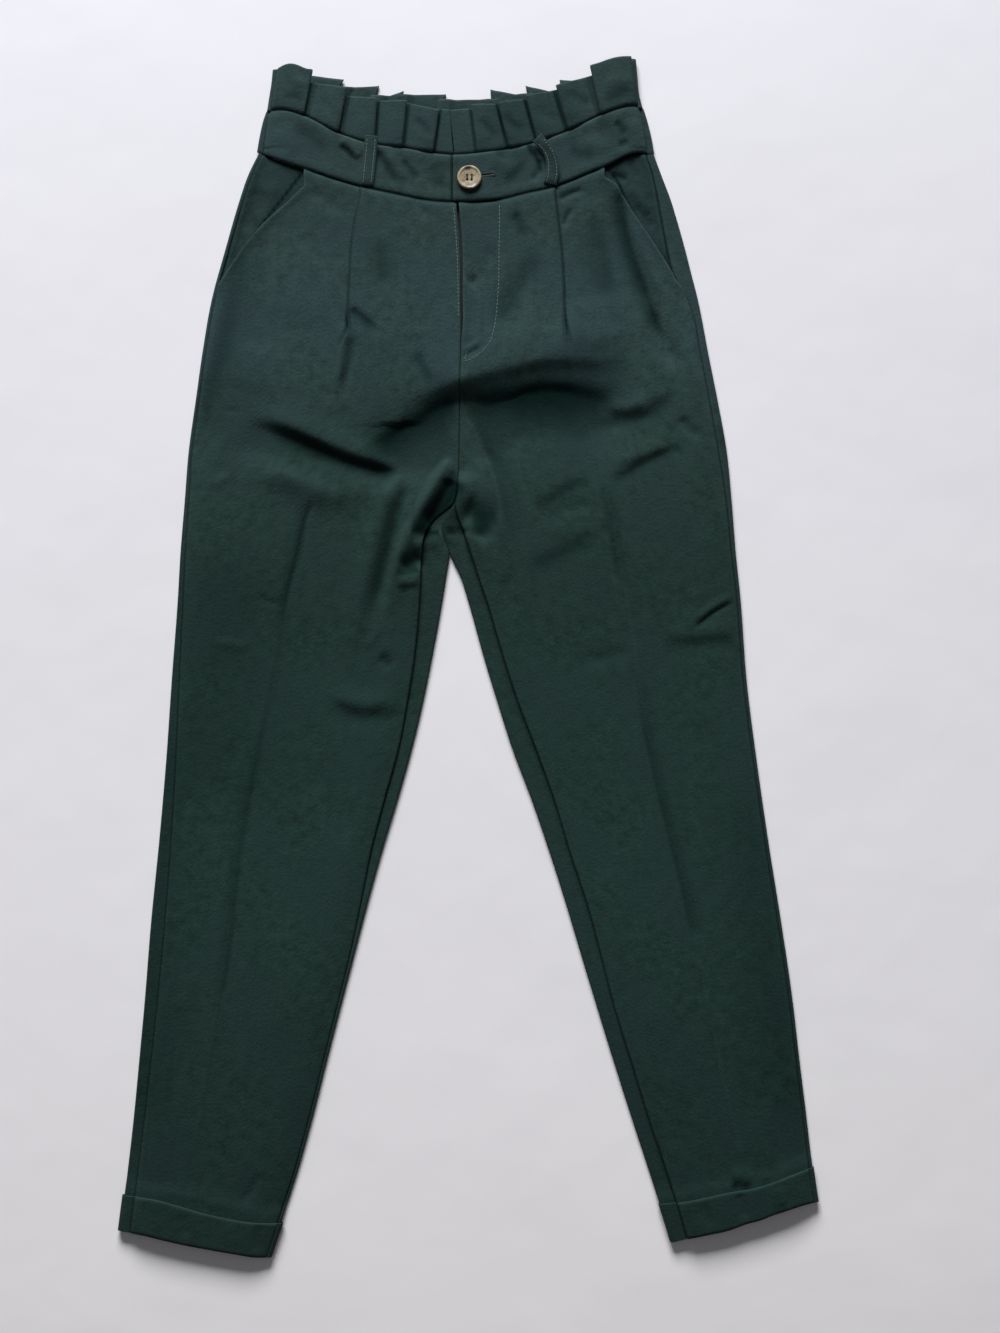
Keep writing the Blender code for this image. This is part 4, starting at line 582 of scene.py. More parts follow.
        (0.8, 10, 10, .3, .3, 0, [(-118.1, 346.4), (-113, 303.9), (-118.1, 261.4)]),
        (0.8, 10, 10, .3, .3, 0, [(102.8, 346.4), (97.8, 303.9), (104.5, 261.4)]),
        (0.6, 8, 8, .3, .3, 0, [(-24.6, 337.9), (-14.4, 278.4), (-9.3, 218.9)]),
    ],
}


# -------------------------------------------------------------------- helpers
def stops(n, first=False, last=False):
    """n positions from 0 to 1, closer together at the ends that are asked for."""
    step = np.ones(n - 1)
    near = np.array((0.25, 0.3, 0.4, 0.6, 0.8))
    if first:
        step[:5] = near
    if last:
        step[-5:] = near[::-1]
    return np.r_[0, np.cumsum(step)] / step.sum()


def rounded(points, steps=5):
    """A line through the points, bent smoothly."""
    p = np.array(points, dtype=float)
    if len(p) < 3:
        return p
    q = np.vstack([2 * p[0] - p[1], p, 2 * p[-1] - p[-2]])
    out = []
    for i in range(1, len(q) - 2):
        for t in np.arange(steps) / steps:
            out.append(0.5 * (2 * q[i] + (q[i + 1] - q[i - 1]) * t
                              + (2 * q[i - 1] - 5 * q[i] + 4 * q[i + 1] - q[i + 2]) * t * t
                              + (3 * q[i] - q[i - 1] - 3 * q[i + 1] + q[i + 2]) * t**3))
    out.append(p[-1])
    return np.array(out)


def crease(x, y, height, left, right, come, go, sharp, points):
    """One crease's height over points x, y."""
    line = rounded(points)
    reach = 2.6 * max(left, right) * (1.5 if sharp else 1.0)
    out = np.zeros(x.shape)
    inside = ((x > line[:, 0].min() - reach) & (x < line[:, 0].max() + reach)
              & (y > line[:, 1].min() - reach) & (y < line[:, 1].max() + reach))
    if not inside.any():
        return out
    px, py = x[inside], y[inside]
    best = np.full(px.shape, 1e9)
    side = np.ones(px.shape)
    share = np.zeros(px.shape)
    step = np.hypot(*np.diff(line, axis=0).T)
    run = np.r_[0, np.cumsum(step)]
    for i, ((ax, ay), (bx, by)) in enumerate(zip(line, line[1:])):
        dx, dy = bx - ax, by - ay
        t = np.clip(((px - ax) * dx + (py - ay) * dy) / max(dx * dx + dy * dy, 1e-9), 0, 1)
        ex, ey = px - ax - t * dx, py - ay - t * dy
        d = np.hypot(ex, ey)
        near = d < best
        best = np.where(near, d, best)
        side = np.where(near, np.where(dx * ey - dy * ex >= 0, 1.0, -1.0), side)
        share = np.where(near, (run[i] + t * step[i]) / run[-1], share)
    width = np.where(side > 0, left, right)
    if sharp:
        form = np.exp(-(np.sqrt(best**2 + 0.5) - 0.7) / width)
    else:
        form = np.exp(-((best / width) ** 2))
    along = np.ones(px.shape)
    if come > 0:
        along *= ease(share / come)
    if go > 0:
        along *= ease((1 - share) / go)
    out[inside] = height * form * along
    return out


def creases(x, y, *groups, gain=1.0):
    x, y = np.broadcast_arrays(np.asarray(x, float), np.asarray(y, float))
    z = np.zeros(x.shape)
    for group in groups:
        for row in CREASES[group]:
            z += crease(x, y, *row) * (1.0 if row[5] else gain)
    return z


def painted_fold_shade(x, y, group="hollow"):
    """Painted shade in folds, 0 to 1, where the colour is darkened for shade."""
    out = np.ones(np.broadcast(x, y).shape)
    for row in CREASES[group]:
        out *= 1 - np.clip(crease(x, y, *row), 0, 1)
    return 1 - out


def ripple(x, y, size=1.0):
    """Fine uneven wrinkles, 6 to 16 mm apart, in patches."""
    patch = 0.5 + 0.5 * np.sin(x / 33.0 + 1.1 * np.sin(y / 41.0) + 0.7) * np.sin(y / 37.0 + 1.3 * np.sin(x / 29.0))
    wave = (np.sin(x / 2.9 + 2.2 * np.sin(y / 13.0 + 0.4) + 0.03 * y) * np.sin(y / 9.5 + 1.6 * np.sin(x / 11.0))
            + 0.8 * np.sin(x / 4.7 - y / 6.1 + 1.9 * np.sin(y / 17.0)) * np.sin(y / 7.3 + 1.4 * np.sin(x / 8.0)))
    return size * 0.14 * patch * wave


def drift(x, y, size=1.0):
    """The slight unevenness that all the cloth has."""
    return ripple(x, y, size) + size * (0.16 * np.sin(x / 31.0 + 1.3 + 0.6 * np.sin(y / 47.0))
                   + 0.14 * np.sin(y / 39.0 + 0.4 + 0.8 * np.sin(x / 29.0))
                   + 0.09 * np.sin((x + y) / 17.0 + 2.0 * np.sin(y / 61.0))
                   + 0.07 * np.sin((x * 1.4 - y) / 13.0 + 1.7 * np.sin(x / 37.0)))


def soften(points, first, last, times=2):
    """Rounds the turns of each row between two columns."""
    for _ in range(times):
        inner = points[:, first:last]
        points[:, first:last] = (points[:, first - 1:last - 1] + 2 * inner + points[:, first + 1:last + 1]) / 4
    return points


def refine(points, pitch, times=2, extra=1):
    """Adds columns to a row-by-row path and rounds its turns."""
    length = np.linalg.norm(np.diff(points[:, :, [0, 2]], axis=1), axis=2).mean(axis=0)
    cols = []
    for i, size in enumerate(length):
        k = max(int(round(size / pitch)), extra)
        for t in np.arange(k) / k:
            cols.append(points[:, i] * (1 - t) + points[:, i + 1] * t)
    cols.append(points[:, -1])
    out = np.stack(cols, axis=1)
    for _ in range(times):
        out[:, 1:-1] = (out[:, :-2] + 2 * out[:, 1:-1] + out[:, 2:]) / 4
    return out


def bell(distance, width):
    return np.exp(-((distance / width) ** 2))


# ------------------------------------------------------------------ materials
def shade(name):
    mat = bpy.data.materials.new(name)
    mat.use_nodes = True
    tree = mat.node_tree
    return mat, tree, tree.nodes["Principled BSDF"]


def link(tree, a, out, b, inp):
    tree.links.new(a.outputs[out], b.inputs[inp])


def cloth_material(name, colour, wale=0.95, sheen=0.05, rub_and_painted_shade=0.5):
    """Cotton twill: fine diagonal wales, uneven dye, threads along the leg, a colour
    graded darker towards the hems as painted light falloff, paler rubbed edges
    that are partly painted highlight, and painted shade in seams and folds."""
    mat, tree, shader = shade(name)
    new = tree.nodes.new
    grain = new("ShaderNodeAttribute")
    grain.attribute_name = "cloth"
    # A signed attribute per point: above 0 a paler rubbed colour, partly wear and partly painted highlight; below 0
    # painted shade in seams, folds and recesses.
    rub_and_shade_attribute = new("ShaderNodeAttribute")
    rub_and_shade_attribute.attribute_name = "rub_and_painted_shade"

    twill = new("ShaderNodeTexWave")
    twill.wave_type, twill.bands_direction = "BANDS", "DIAGONAL"
    twill.inputs["Scale"].default_value = 0.628 / wale
    twill.inputs["Distortion"].default_value = 0.5
    twill.inputs["Detail"].default_value = 2.0
    twill.inputs["Detail Scale"].default_value = 1.6
    flat = new("ShaderNodeVectorMath")
    flat.operation = "MULTIPLY"
    flat.inputs[1].default_value = (1.0, 0.62, 0.0)
    link(tree, grain, "Vector", flat, 0)
    link(tree, flat, "Vector", twill, "Vector")

    def noise(scale, stretch, detail, rough):
        turn = new("ShaderNodeVectorMath")
        turn.operation = "MULTIPLY"
        turn.inputs[1].default_value = stretch
        link(tree, grain, "Vector", turn, 0)
        n = new("ShaderNodeTexNoise")
        n.inputs["Scale"].default_value = scale
        n.inputs["Detail"].default_value = detail
        n.inputs["Roughness"].default_value = rough
        link(tree, turn, "Vector", n, "Vector")
        return n

    mottle = noise(0.11, (1, 1, 0), 4.0, 0.62)
    cloud = noise(0.016, (1, 0.8, 0), 2.0, 0.5)
    slub = noise(0.55, (1, 0.045, 0), 3.0, 0.6)
    nap = noise(0.42, (1, 0.8, 0), 4.0, 0.66)

    dark = tuple(c * 0.62 for c in colour)
    pale = (colour[0] * 1.34, colour[1] * 1.28, colour[2] * 1.28)
    blue = (colour[0] * 1.02, colour[1] * 0.95, colour[2] * 1.12)
    ramp = new("ShaderNodeValToRGB")
    ramp.color_ramp.elements[0].position = 0.30
    ramp.color_ramp.elements[0].color = (*dark, 1)
    ramp.color_ramp.elements[1].position = 0.72
    ramp.color_ramp.elements[1].color = (*pale, 1)
    middle = ramp.color_ramp.elements.new(0.5)
    middle.color = (*colour, 1)
    link(tree, mottle, "Fac", ramp, "Fac")

    def mix(kind, amount, a, b):
        m = new("ShaderNodeMix")
        m.data_type, m.blend_type = "RGBA", kind
        if isinstance(amount, float):
            m.inputs[0].default_value = amount
        else:
            tree.links.new(amount, m.inputs[0])
        for socket, value in ((m.inputs[6], a), (m.inputs[7], b)):
            if isinstance(value, tuple):
                socket.default_value = (*value, 1)
            else:
                tree.links.new(value, socket)
        return m.outputs[2]

    def spread(source, low, high, a, b):
        m = new("ShaderNodeMapRange")
        m.inputs[1].default_value, m.inputs[2].default_value = low, high
        m.inputs[3].default_value, m.inputs[4].default_value = a, b
        tree.links.new(source, m.inputs[0])
        return m.outputs[0]

    base = mix("MIX", 0.10, ramp.outputs["Color"], colour)
    base = mix("MIX", spread(cloud.outputs["Fac"], 0.4, 0.62, 0.0, 0.8), base, blue)
    base = mix("MULTIPLY", 0.22, base, mix("MIX", spread(slub.outputs["Fac"], 0.35, 0.65, 0.0, 1.0),
                                          (0.72, 0.72, 0.72), (1.18, 1.18, 1.18)))
    base = mix("MULTIPLY", 0.6, base, mix("MIX", twill.outputs["Fac"], (0.78, 0.78, 0.78), (1.1, 1.1, 1.1)))
    # Painted light falloff: the colour is graded along the garment's length, darker towards the hems and lighter round
    # the hips, in place of the lamp's falloff and the cloth's shading.
    place = new("ShaderNodeSeparateXYZ")
    link(tree, grain, "Vector", place, 0)
    painted_falloff = new("ShaderNodeValToRGB")
    painted_falloff.color_ramp.interpolation = "EASE"
    painted_falloff_tones = ((0.0, (0.50, 0.70, 0.56)), (0.12, (0.56, 0.78, 0.64)), (0.30, (0.66, 0.90, 0.74)), (0.45, (0.60, 0.84, 0.68)),
             (0.56, (0.53, 0.73, 0.60)), (0.68, (0.72, 0.86, 0.76)), (0.79, (1.04, 1.08, 1.07)), (0.90, (0.80, 0.86, 0.83)),
             (1.0, (0.84, 0.90, 0.86)))
    painted_falloff.color_ramp.elements[0].color = (*painted_falloff_tones[0][1], 1)
    painted_falloff.color_ramp.elements[1].color = (*painted_falloff_tones[-1][1], 1)
    for position, value in painted_falloff_tones[1:-1]:
        painted_falloff.color_ramp.elements.new(position).color = (*value, 1)
    tree.links.new(spread(place.outputs["Z"], -510.0, 500.0, 0.0, 1.0), painted_falloff.inputs[0])
    base = mix("MULTIPLY", 1.0, base, painted_falloff.outputs["Color"])
    # Paler colour where the attribute is above 0: partly wear on edges, partly painted highlight along edges and
    # creases.
    pale_rubbed_and_highlight = (colour[0] * 2.6 + 0.02, colour[1] * 2.2 + 0.02, colour[2] * 2.1 + 0.02)
    base = mix("MIX", spread(rub_and_shade_attribute.outputs["Fac"], 0.0, 1.0, 0.0, rub_and_painted_shade), base, pale_rubbed_and_highlight)
    # Painted shade: where the attribute is below 0 the colour goes to a near-black green, and specular and sheen die
    # away with it.
    painted_shade_colour = (0.0018, 0.0078, 0.0066)
    base = mix("MIX", spread(rub_and_shade_attribute.outputs["Fac"], 0.0, -1.0, 0.0, 0.95), base, painted_shade_colour)
    tree.links.new(base, shader.inputs["Base Color"])

    shader.inputs["Roughness"].default_value = 0.86
    tree.links.new(spread(rub_and_shade_attribute.outputs["Fac"], 0.0, -1.0, 0.16, 0.0), shader.inputs["Specular IOR Level"])
    tree.links.new(spread(rub_and_shade_attribute.outputs["Fac"], 0.0, -0.8, sheen, 0.0), shader.inputs["Sheen Weight"])
    shader.inputs["Sheen Roughness"].default_value = 0.45
    shader.inputs["Sheen Tint"].default_value = (0.72, 0.86, 0.84, 1)

    weave = new("ShaderNodeBump")
    weave.inputs["Strength"].default_value = 0.55
    weave.inputs["Distance"].default_value = 0.00024
    link(tree, twill, "Fac", weave, "Height")
    fuzz = new("ShaderNodeBump")
    fuzz.inputs["Strength"].default_value = 0.5
    fuzz.inputs["Distance"].default_value = 0.0013
    link(tree, nap, "Fac", fuzz, "Height")
    link(tree, weave, "Normal", fuzz, "Normal")
    link(tree, fuzz, "Normal", shader, "Normal")
    return mat


TWILL = cloth_material("green_twill", (0.0205, 0.0425, 0.0405))
TWILL_BACK = cloth_material("green_twill_back", (0.0195, 0.0400, 0.0382))
POCKETING = cloth_material("pocket_twill", (0.0190, 0.0395, 0.0378))


def plain(name, colour, rough, grain, distance, sheen=0.0, spots=0.25):
    """A small thing's finish: slightly uneven in colour and surface."""
    mat, tree, shader = shade(name)
    where = tree.nodes.new("ShaderNodeTexCoord")
    noise = tree.nodes.new("ShaderNodeTexNoise")
    noise.inputs["Scale"].default_value = grain
    noise.inputs["Detail"].default_value = 3.0
    link(tree, where, "Object", noise, "Vector")
    ramp = tree.nodes.new("ShaderNodeValToRGB")
    ramp.color_ramp.elements[0].position, ramp.color_ramp.elements[1].position = 0.35, 0.7
    ramp.color_ramp.elements[0].color = (*[c * (1 - spots) for c in colour], 1)
    ramp.color_ramp.elements[1].color = (*[c * (1 + spots) for c in colour], 1)
    link(tree, noise, "Fac", ramp, "Fac")
    link(tree, ramp, "Color", shader, "Base Color")
    shader.inputs["Roughness"].default_value = rough
    shader.inputs["Sheen Weight"].default_value = sheen
    bump = tree.nodes.new("ShaderNodeBump")
    bump.inputs["Strength"].default_value = 0.4
    bump.inputs["Distance"].default_value = distance
    link(tree, noise, "Fac", bump, "Height")
    link(tree, bump, "Normal", shader, "Normal")
    return mat


THREAD = plain("pale_green_thread", (0.115, 0.165, 0.155), 0.7, 1800.0, 0.0001, 0.2)
THREAD_DARK = plain("dark_green_thread", (0.012, 0.024, 0.023), 0.75, 1800.0, 0.0001, 0.1)
THREAD_BLACK = plain("button_thread", (0.006, 0.007, 0.006), 0.8, 1800.0, 0.0001)
TAPE = plain("zip_tape", (0.012, 0.020, 0.020), 0.8, 1200.0, 0.0001, 0.1)


def horn_material():
    """Blond horn: cloudy bands round the rim, a dark mark at the top."""
    mat, tree, shader = shade("button_horn")
    new = tree.nodes.new
    where = new("ShaderNodeAttribute")
    where.attribute_name = "turned"
    noise = new("ShaderNodeTexNoise")
    noise.inputs["Scale"].default_value = 0.22
    noise.inputs["Detail"].default_value = 5.0
    noise.inputs["Distortion"].default_value = 0.6
    link(tree, where, "Vector", noise, "Vector")
    ramp = new("ShaderNodeValToRGB")
    stopsc = ((0.30, (0.12, 0.078, 0.045)), (0.46, (0.255, 0.205, 0.130)), (0.60, (0.32, 0.275, 0.185)),
              (0.75, (0.20, 0.160, 0.105)))
    ramp.color_ramp.elements[0].position, ramp.color_ramp.elements[0].color = stopsc[0][0], (*stopsc[0][1], 1)
    ramp.color_ramp.elements[1].position, ramp.color_ramp.elements[1].color = stopsc[3][0], (*stopsc[3][1], 1)
    for position, value in stopsc[1:3]:
        e = ramp.color_ramp.elements.new(position)
        e.color = (*value, 1)
    link(tree, noise, "Fac", ramp, "Fac")

    def blot(place, size, colour, before):
        far = new("ShaderNodeVectorMath")
        far.operation = "DISTANCE"
        far.inputs[1].default_value = place
        link(tree, where, "Vector", far, 0)
        rise = new("ShaderNodeMapRange")
        rise.interpolation_type = "SMOOTHSTEP"
        rise.inputs[1].default_value, rise.inputs[2].default_value = size * 0.35, size
        rise.inputs[3].default_value, rise.inputs[4].default_value = 0.92, 0.0
        tree.links.new(far.outputs["Value"], rise.inputs[0])
        m = new("ShaderNodeMix")
        m.data_type = "RGBA"
        tree.links.new(rise.outputs[0], m.inputs[0])
        tree.links.new(before, m.inputs[6])
        m.inputs[7].default_value = (*colour, 1)
        return m.outputs[2]

    base = blot((-1.6, 8.8, 3.2), 4.4, (0.035, 0.020, 0.014), ramp.outputs["Color"])
    base = blot((0.5, -10.6, 2.6), 6.6, (0.085, 0.052, 0.032), base)
    base = blot((8.0, -6.5, 2.8), 6.0, (0.13, 0.10, 0.07), base)
    tree.links.new(base, shader.inputs["Base Color"])
    shader.inputs["Roughness"].default_value = 0.46
    shader.inputs["Coat Weight"].default_value = 0.06
    bump = new("ShaderNodeBump")
    bump.inputs["Strength"].default_value = 0.3
    bump.inputs["Distance"].default_value = 0.0002
    link(tree, noise, "Fac", bump, "Height")
    link(tree, bump, "Normal", shader, "Normal")
    return mat


HORN = horn_material()


# --------------------------------------------------------------------- pieces
def mesh_object(name, verts, faces, mat, attributes=()):
    mesh = bpy.data.meshes.new(name)
    mesh.from_pydata(verts.tolist() if hasattr(verts, "tolist") else verts, [], faces)
    mesh.update()
    for label, kind, values in attributes:
        a = mesh.attributes.new(label, kind, "POINT")
        a.data.foreach_set("vector" if kind == "FLOAT_VECTOR" else "value", np.asarray(values, np.float32).ravel())
    mesh.materials.append(mat)
    mesh.shade_smooth()
    obj = bpy.data.objects.new(name, mesh)
    bpy.context.scene.collection.objects.link(obj)
    return obj


SURFACE = {}


def cloth_piece(name, points, thickness, mat, grain=None, rub_and_painted_shade=None, node=None):
    """A cloth piece from a grid of mid-surface points in millimetres."""
    rows, cols = points.shape[:2]
    SURFACE[name] = points.reshape(-1, 3).copy()
    placed = (points + np.array((*SHIFT, 0.0))) * MM
    k = np.arange(rows * cols).reshape(rows, cols)
    faces = np.stack([k[:-1, :-1], k[:-1, 1:], k[1:, 1:], k[1:, :-1]], axis=-1).reshape(-1, 4)
    # the upper face of each sheet looks up
    i, j = rows // 2, cols // 2
    a, b = placed[i, j + 1] - placed[i, j], placed[i + 1, j] - placed[i, j]
    if np.cross(a, b)[2] > 0:
        pass
    else:
        faces = faces[:, ::-1]
    if grain is None:
        grain = points[:, :, :2]
    grain = np.concatenate([grain, points[:, :, 1:2]], axis=2)
    if rub_and_painted_shade is None:
        rub_and_painted_shade = np.zeros((rows, cols))
    obj = mesh_object(name, placed.reshape(-1, 3), faces.tolist(), mat,
                      (("cloth", "FLOAT_VECTOR", grain), ("rub_and_painted_shade", "FLOAT", np.clip(rub_and_painted_shade, -1, 1))))
    wall = obj.modifiers.new("wall", "SOLIDIFY")
    wall.thickness = thickness * MM
    wall.offset = 0.0
    wall.use_even_offset = False
    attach(obj, "root")
    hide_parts(node or name)
    return obj


def height_at(name, x, y, reach=1.8):
    """The highest mid-surface of a piece round each point."""
    pts = SURFACE[name]
    out = []
    for px, py in zip(np.atleast_1d(x), np.atleast_1d(y)):
        d = np.abs(pts[:, 0] - px) + np.abs(pts[:, 1] - py)
        near = d < reach
        if not near.any():
            near = d <= d.min() + 0.5
        out.append(pts[near, 2].max())
    return np.array(out)

WALL = 0.75            # the shown cloth
REST = 0.40            # mid-surface of the cloth that lies on the floor


def both_edges(a, b):
    """The larger of two edges' marks, for one piece."""
    return np.maximum(a, b)


def seam_shade_mark(d):
    """Painted shade kept down in a seam's ditch, and a thin paler line beside it, partly wear and partly painted
    highlight.
    """
    return -0.45 * bell(d, 0.8) + 0.10 * bell(d - 1.9, 0.7)


def waist_seam_shadow(d):
    """The waist seam's painted shadow: a tight, dark ditch."""
    return -0.95 * bell(d, 1.1) + 0.12 * bell(d - 2.4, 0.8)


# ------------------------------------------------------------- the two fronts
def front_panel(side):
    s = SIGN[side]
    hip = stops(132, first=True)
    leg = np.linspace(0, 1, 258)[1:]
    (w_o, c_o, h_o), (w_i, c_i, h_i) = ROW_ENDS[side]
    y_o = np.r_[w_o + (c_o - w_o) * hip, c_o + (h_o - c_o) * leg][:, None]
    y_i = np.r_[w_i + (c_i - w_i) * hip, c_i + (h_i - c_i) * leg][:, None]
    pleat = PLEAT_R if side == "right" else PLEAT_L
    pocket = POCKET_R if side == "right" else POCKET_L
    outer_tab = OUTER_R if side == "right" else OUTER_L
    inner_tab = INNER_R if side == "right" else INNER_L
    gap = 0.16
    seam_x = smooth(outer_tab, "y", "edge", y_o) - s * (smooth(outer_tab, "y", "strip", y_o) + gap)
    cut = smooth(pocket, "y", "x", y_o)
    in_pocket = y_o > 318.0
    seam_x = np.where(in_pocket, np.minimum(np.abs(seam_x), np.abs(cut)) * s, seam_x)
    in_x = np.where(y_i > 142.0, smooth(CENTRE, "y", side, y_i),
                    smooth(inner_tab, "y", "seam", y_i) + s * (gap + 0.35 * (y_i > 100)))
    for _ in range(3):
        in_x[1:-1] = (in_x[:-2] + 2 * in_x[1:-1] + in_x[2:]) / 4
    y_mid = (y_o + y_i) / 2
    x_p = smooth(pleat, "y", "x", y_mid)
    if side == "right":       # the pleat's edge wavers where it opens
        x_p = x_p + 2.4 * bell(y_mid - 282.0, 8.0) - 1.2 * bell(y_mid - 262.0, 8.0)
    depth = smooth(pleat, "y", "depth", y_mid)
    rise = smooth(pleat, "y", "rise", y_mid)
    low = y_mid < 205
    middle = in_x + (seam_x - in_x) * 0.52
    x_p = np.where(low, x_p + (middle - x_p) * ease((205 - y_mid) / 120), x_p)
    rise = np.where(low, rise * ease((y_mid - 120) / 85), rise)
    waist_press = 0.62 + 0.38 * ease((y_o[0] - y_o) / 16.0)
    lift = 2.5 * rise * waist_press
    n_a, n_f, n_b = 45, 12, 54
    x_a = x_p - s * depth
    a = seam_x + (x_a - seam_x) * stops(n_a, first=True)[None, :]
    q = np.linspace(0, 1, n_f + 2)[1:-1][None, :]
    fold = x_a + (x_p - x_a) * q
    b = x_p + (in_x - x_p) * stops(n_b, last=True)[None, :]
    xs = np.hstack([a, fold, b])
    ones = np.ones((len(y_o), 1))
    up = np.hstack([0 * a, q * ones, np.ones_like(b)])
    share = np.linspace(0, 1.2, n_b)[None, :] * ones
    back = np.hstack([np.ones((len(y_o), n_a + n_f)), 1 - 0.55 * ease(share)])
    t = (xs - seam_x) / (in_x - seam_x)
    v = (y_o[0] - y_o) / (y_o[0] - y_o[-1])
    first = y_o[0] + (y_i[0] - y_o[0]) * t
    last = y_o[-1] + (y_i[-1] - y_o[-1]) * t
    waist = smooth(WAIST, "x", "y", xs) - 0.2
    foot = smooth(FOOT_R if side == "right" else FOOT_L, "x", "y", xs) + 1.2
    ys = y_o + (y_i - y_o) * t
    ys = ys + (waist - first) * ease(1 - v / 0.2) + (foot - last) * ease((v - 0.88) / 0.12)
    outer, inner = edges(side, ys)
    calm = dome(np.abs(xs - outer) / 26.0)
    z = top(side, xs, ys) + lift * up * back
    hill = creases(xs, ys, "both", side, gain=1.2)
    z = z + hill * np.where(hill > 0, np.sqrt(calm), calm) + drift(xs, ys) * calm
    # the seams: each edge turns down into its ditch
    d_waist = waist - ys
    d_out = np.abs(xs - seam_x)
    d_in = np.abs(xs - in_x)
    z -= 1.1 * bell(d_waist, 1.5)
    z += 0.35 * bell(d_waist - 6.0, 4.0)
    edge_fade = ease((318.0 - y_o) / 14.0)
    z -= 0.55 * bell(d_out, 0.9) * edge_fade
    z += (1.2 * bell(d_out, 5.0) - 0.45 * bell(d_out, 0.8)) * (1 - edge_fade)
    fly = ease((y_i - 262.0) / 16.0)
    centre_seam = 1 - fly
    z -= 0.5 * bell(d_in, 0.9) * centre_seam
    over = 1.5 if side == "left" else 0.7
    z += (over * bell(d_in, 7.0) - 0.5 * bell(d_in, 0.8)) * fly
    # hip to crotch: the fold of cloth never sinks through what is under it
    floor_z = 2.1 + over_turnup(side, xs, ys)
    z = floor_z + np.logaddexp(0, (z - floor_z) * 1.6) / 1.6
    points = np.stack([xs, ys, z], axis=2)
    points = soften(points, n_a - 3, n_a + n_f + 3, 2)
    line_x = smooth(table("y x", [(215.5, -100.0), (143.2, -136.0), (47.2, -158.0), (-79.5, -181.0),
                                  (-252.9, -206.0), (-452.6, -236.0)]), "y", "x", ys)
    if side == "left":
        line_x = smooth(table("y x", [(215.5, 98.0), (120.3, 121.0), (27.6, 137.0), (-88.8, 158.0),
                                      (-192.5, 183.0), (-443.3, 236.0)]), "y", "x", ys)
    grain = np.stack([(xs - line_x) + (90 if side == "left" else 0), ys * 1.02], axis=2)
    # Painted shadow in the waist seam and painted shade in the centre and side seams; a pale line along the pocket edge
    # and the fly edge, partly wear and partly painted highlight.
    rub_and_painted_shade = waist_seam_shadow(d_waist) + 0.7 * seam_shade_mark(d_in) * centre_seam + seam_shade_mark(d_out) * edge_fade
    rub_and_painted_shade = rub_and_painted_shade + 0.10 * bell(d_out, 0.9) * (1 - edge_fade) + 0.2 * bell(d_in, 0.8) * fly
    # Painted shade along each pleat: a dark line beside its fold edge and under the fold.
    pleat_edge_shade = np.zeros(xs.shape)
    pleat_edge_shade[:, n_a + n_f - 1:n_a + n_f + 2] = -0.45
    pleat_edge_shade[:, n_a - 2:n_a + n_f - 2] = -0.8
    rub_and_painted_shade = rub_and_painted_shade + pleat_edge_shade * ease((ys - 262.0) / 25.0)
    # Painted shade in the folds.
    rub_and_painted_shade = rub_and_painted_shade - 0.92 * painted_fold_shade(xs, ys)
    # A faint pale line on each pressed crease, partly wear and partly painted highlight.
    for height, left, right, come, go, sharp, points_ in CREASES[side]:
        if sharp:
            rub_and_painted_shade = rub_and_painted_shade + 0.07 * np.clip(crease(xs, ys, 1.0, 1.6, 1.6, come, go, 0, points_), 0, 1)
    return cloth_piece(f"front_panel_{side}", points, WALL, TWILL,
                       grain, rub_and_painted_shade)


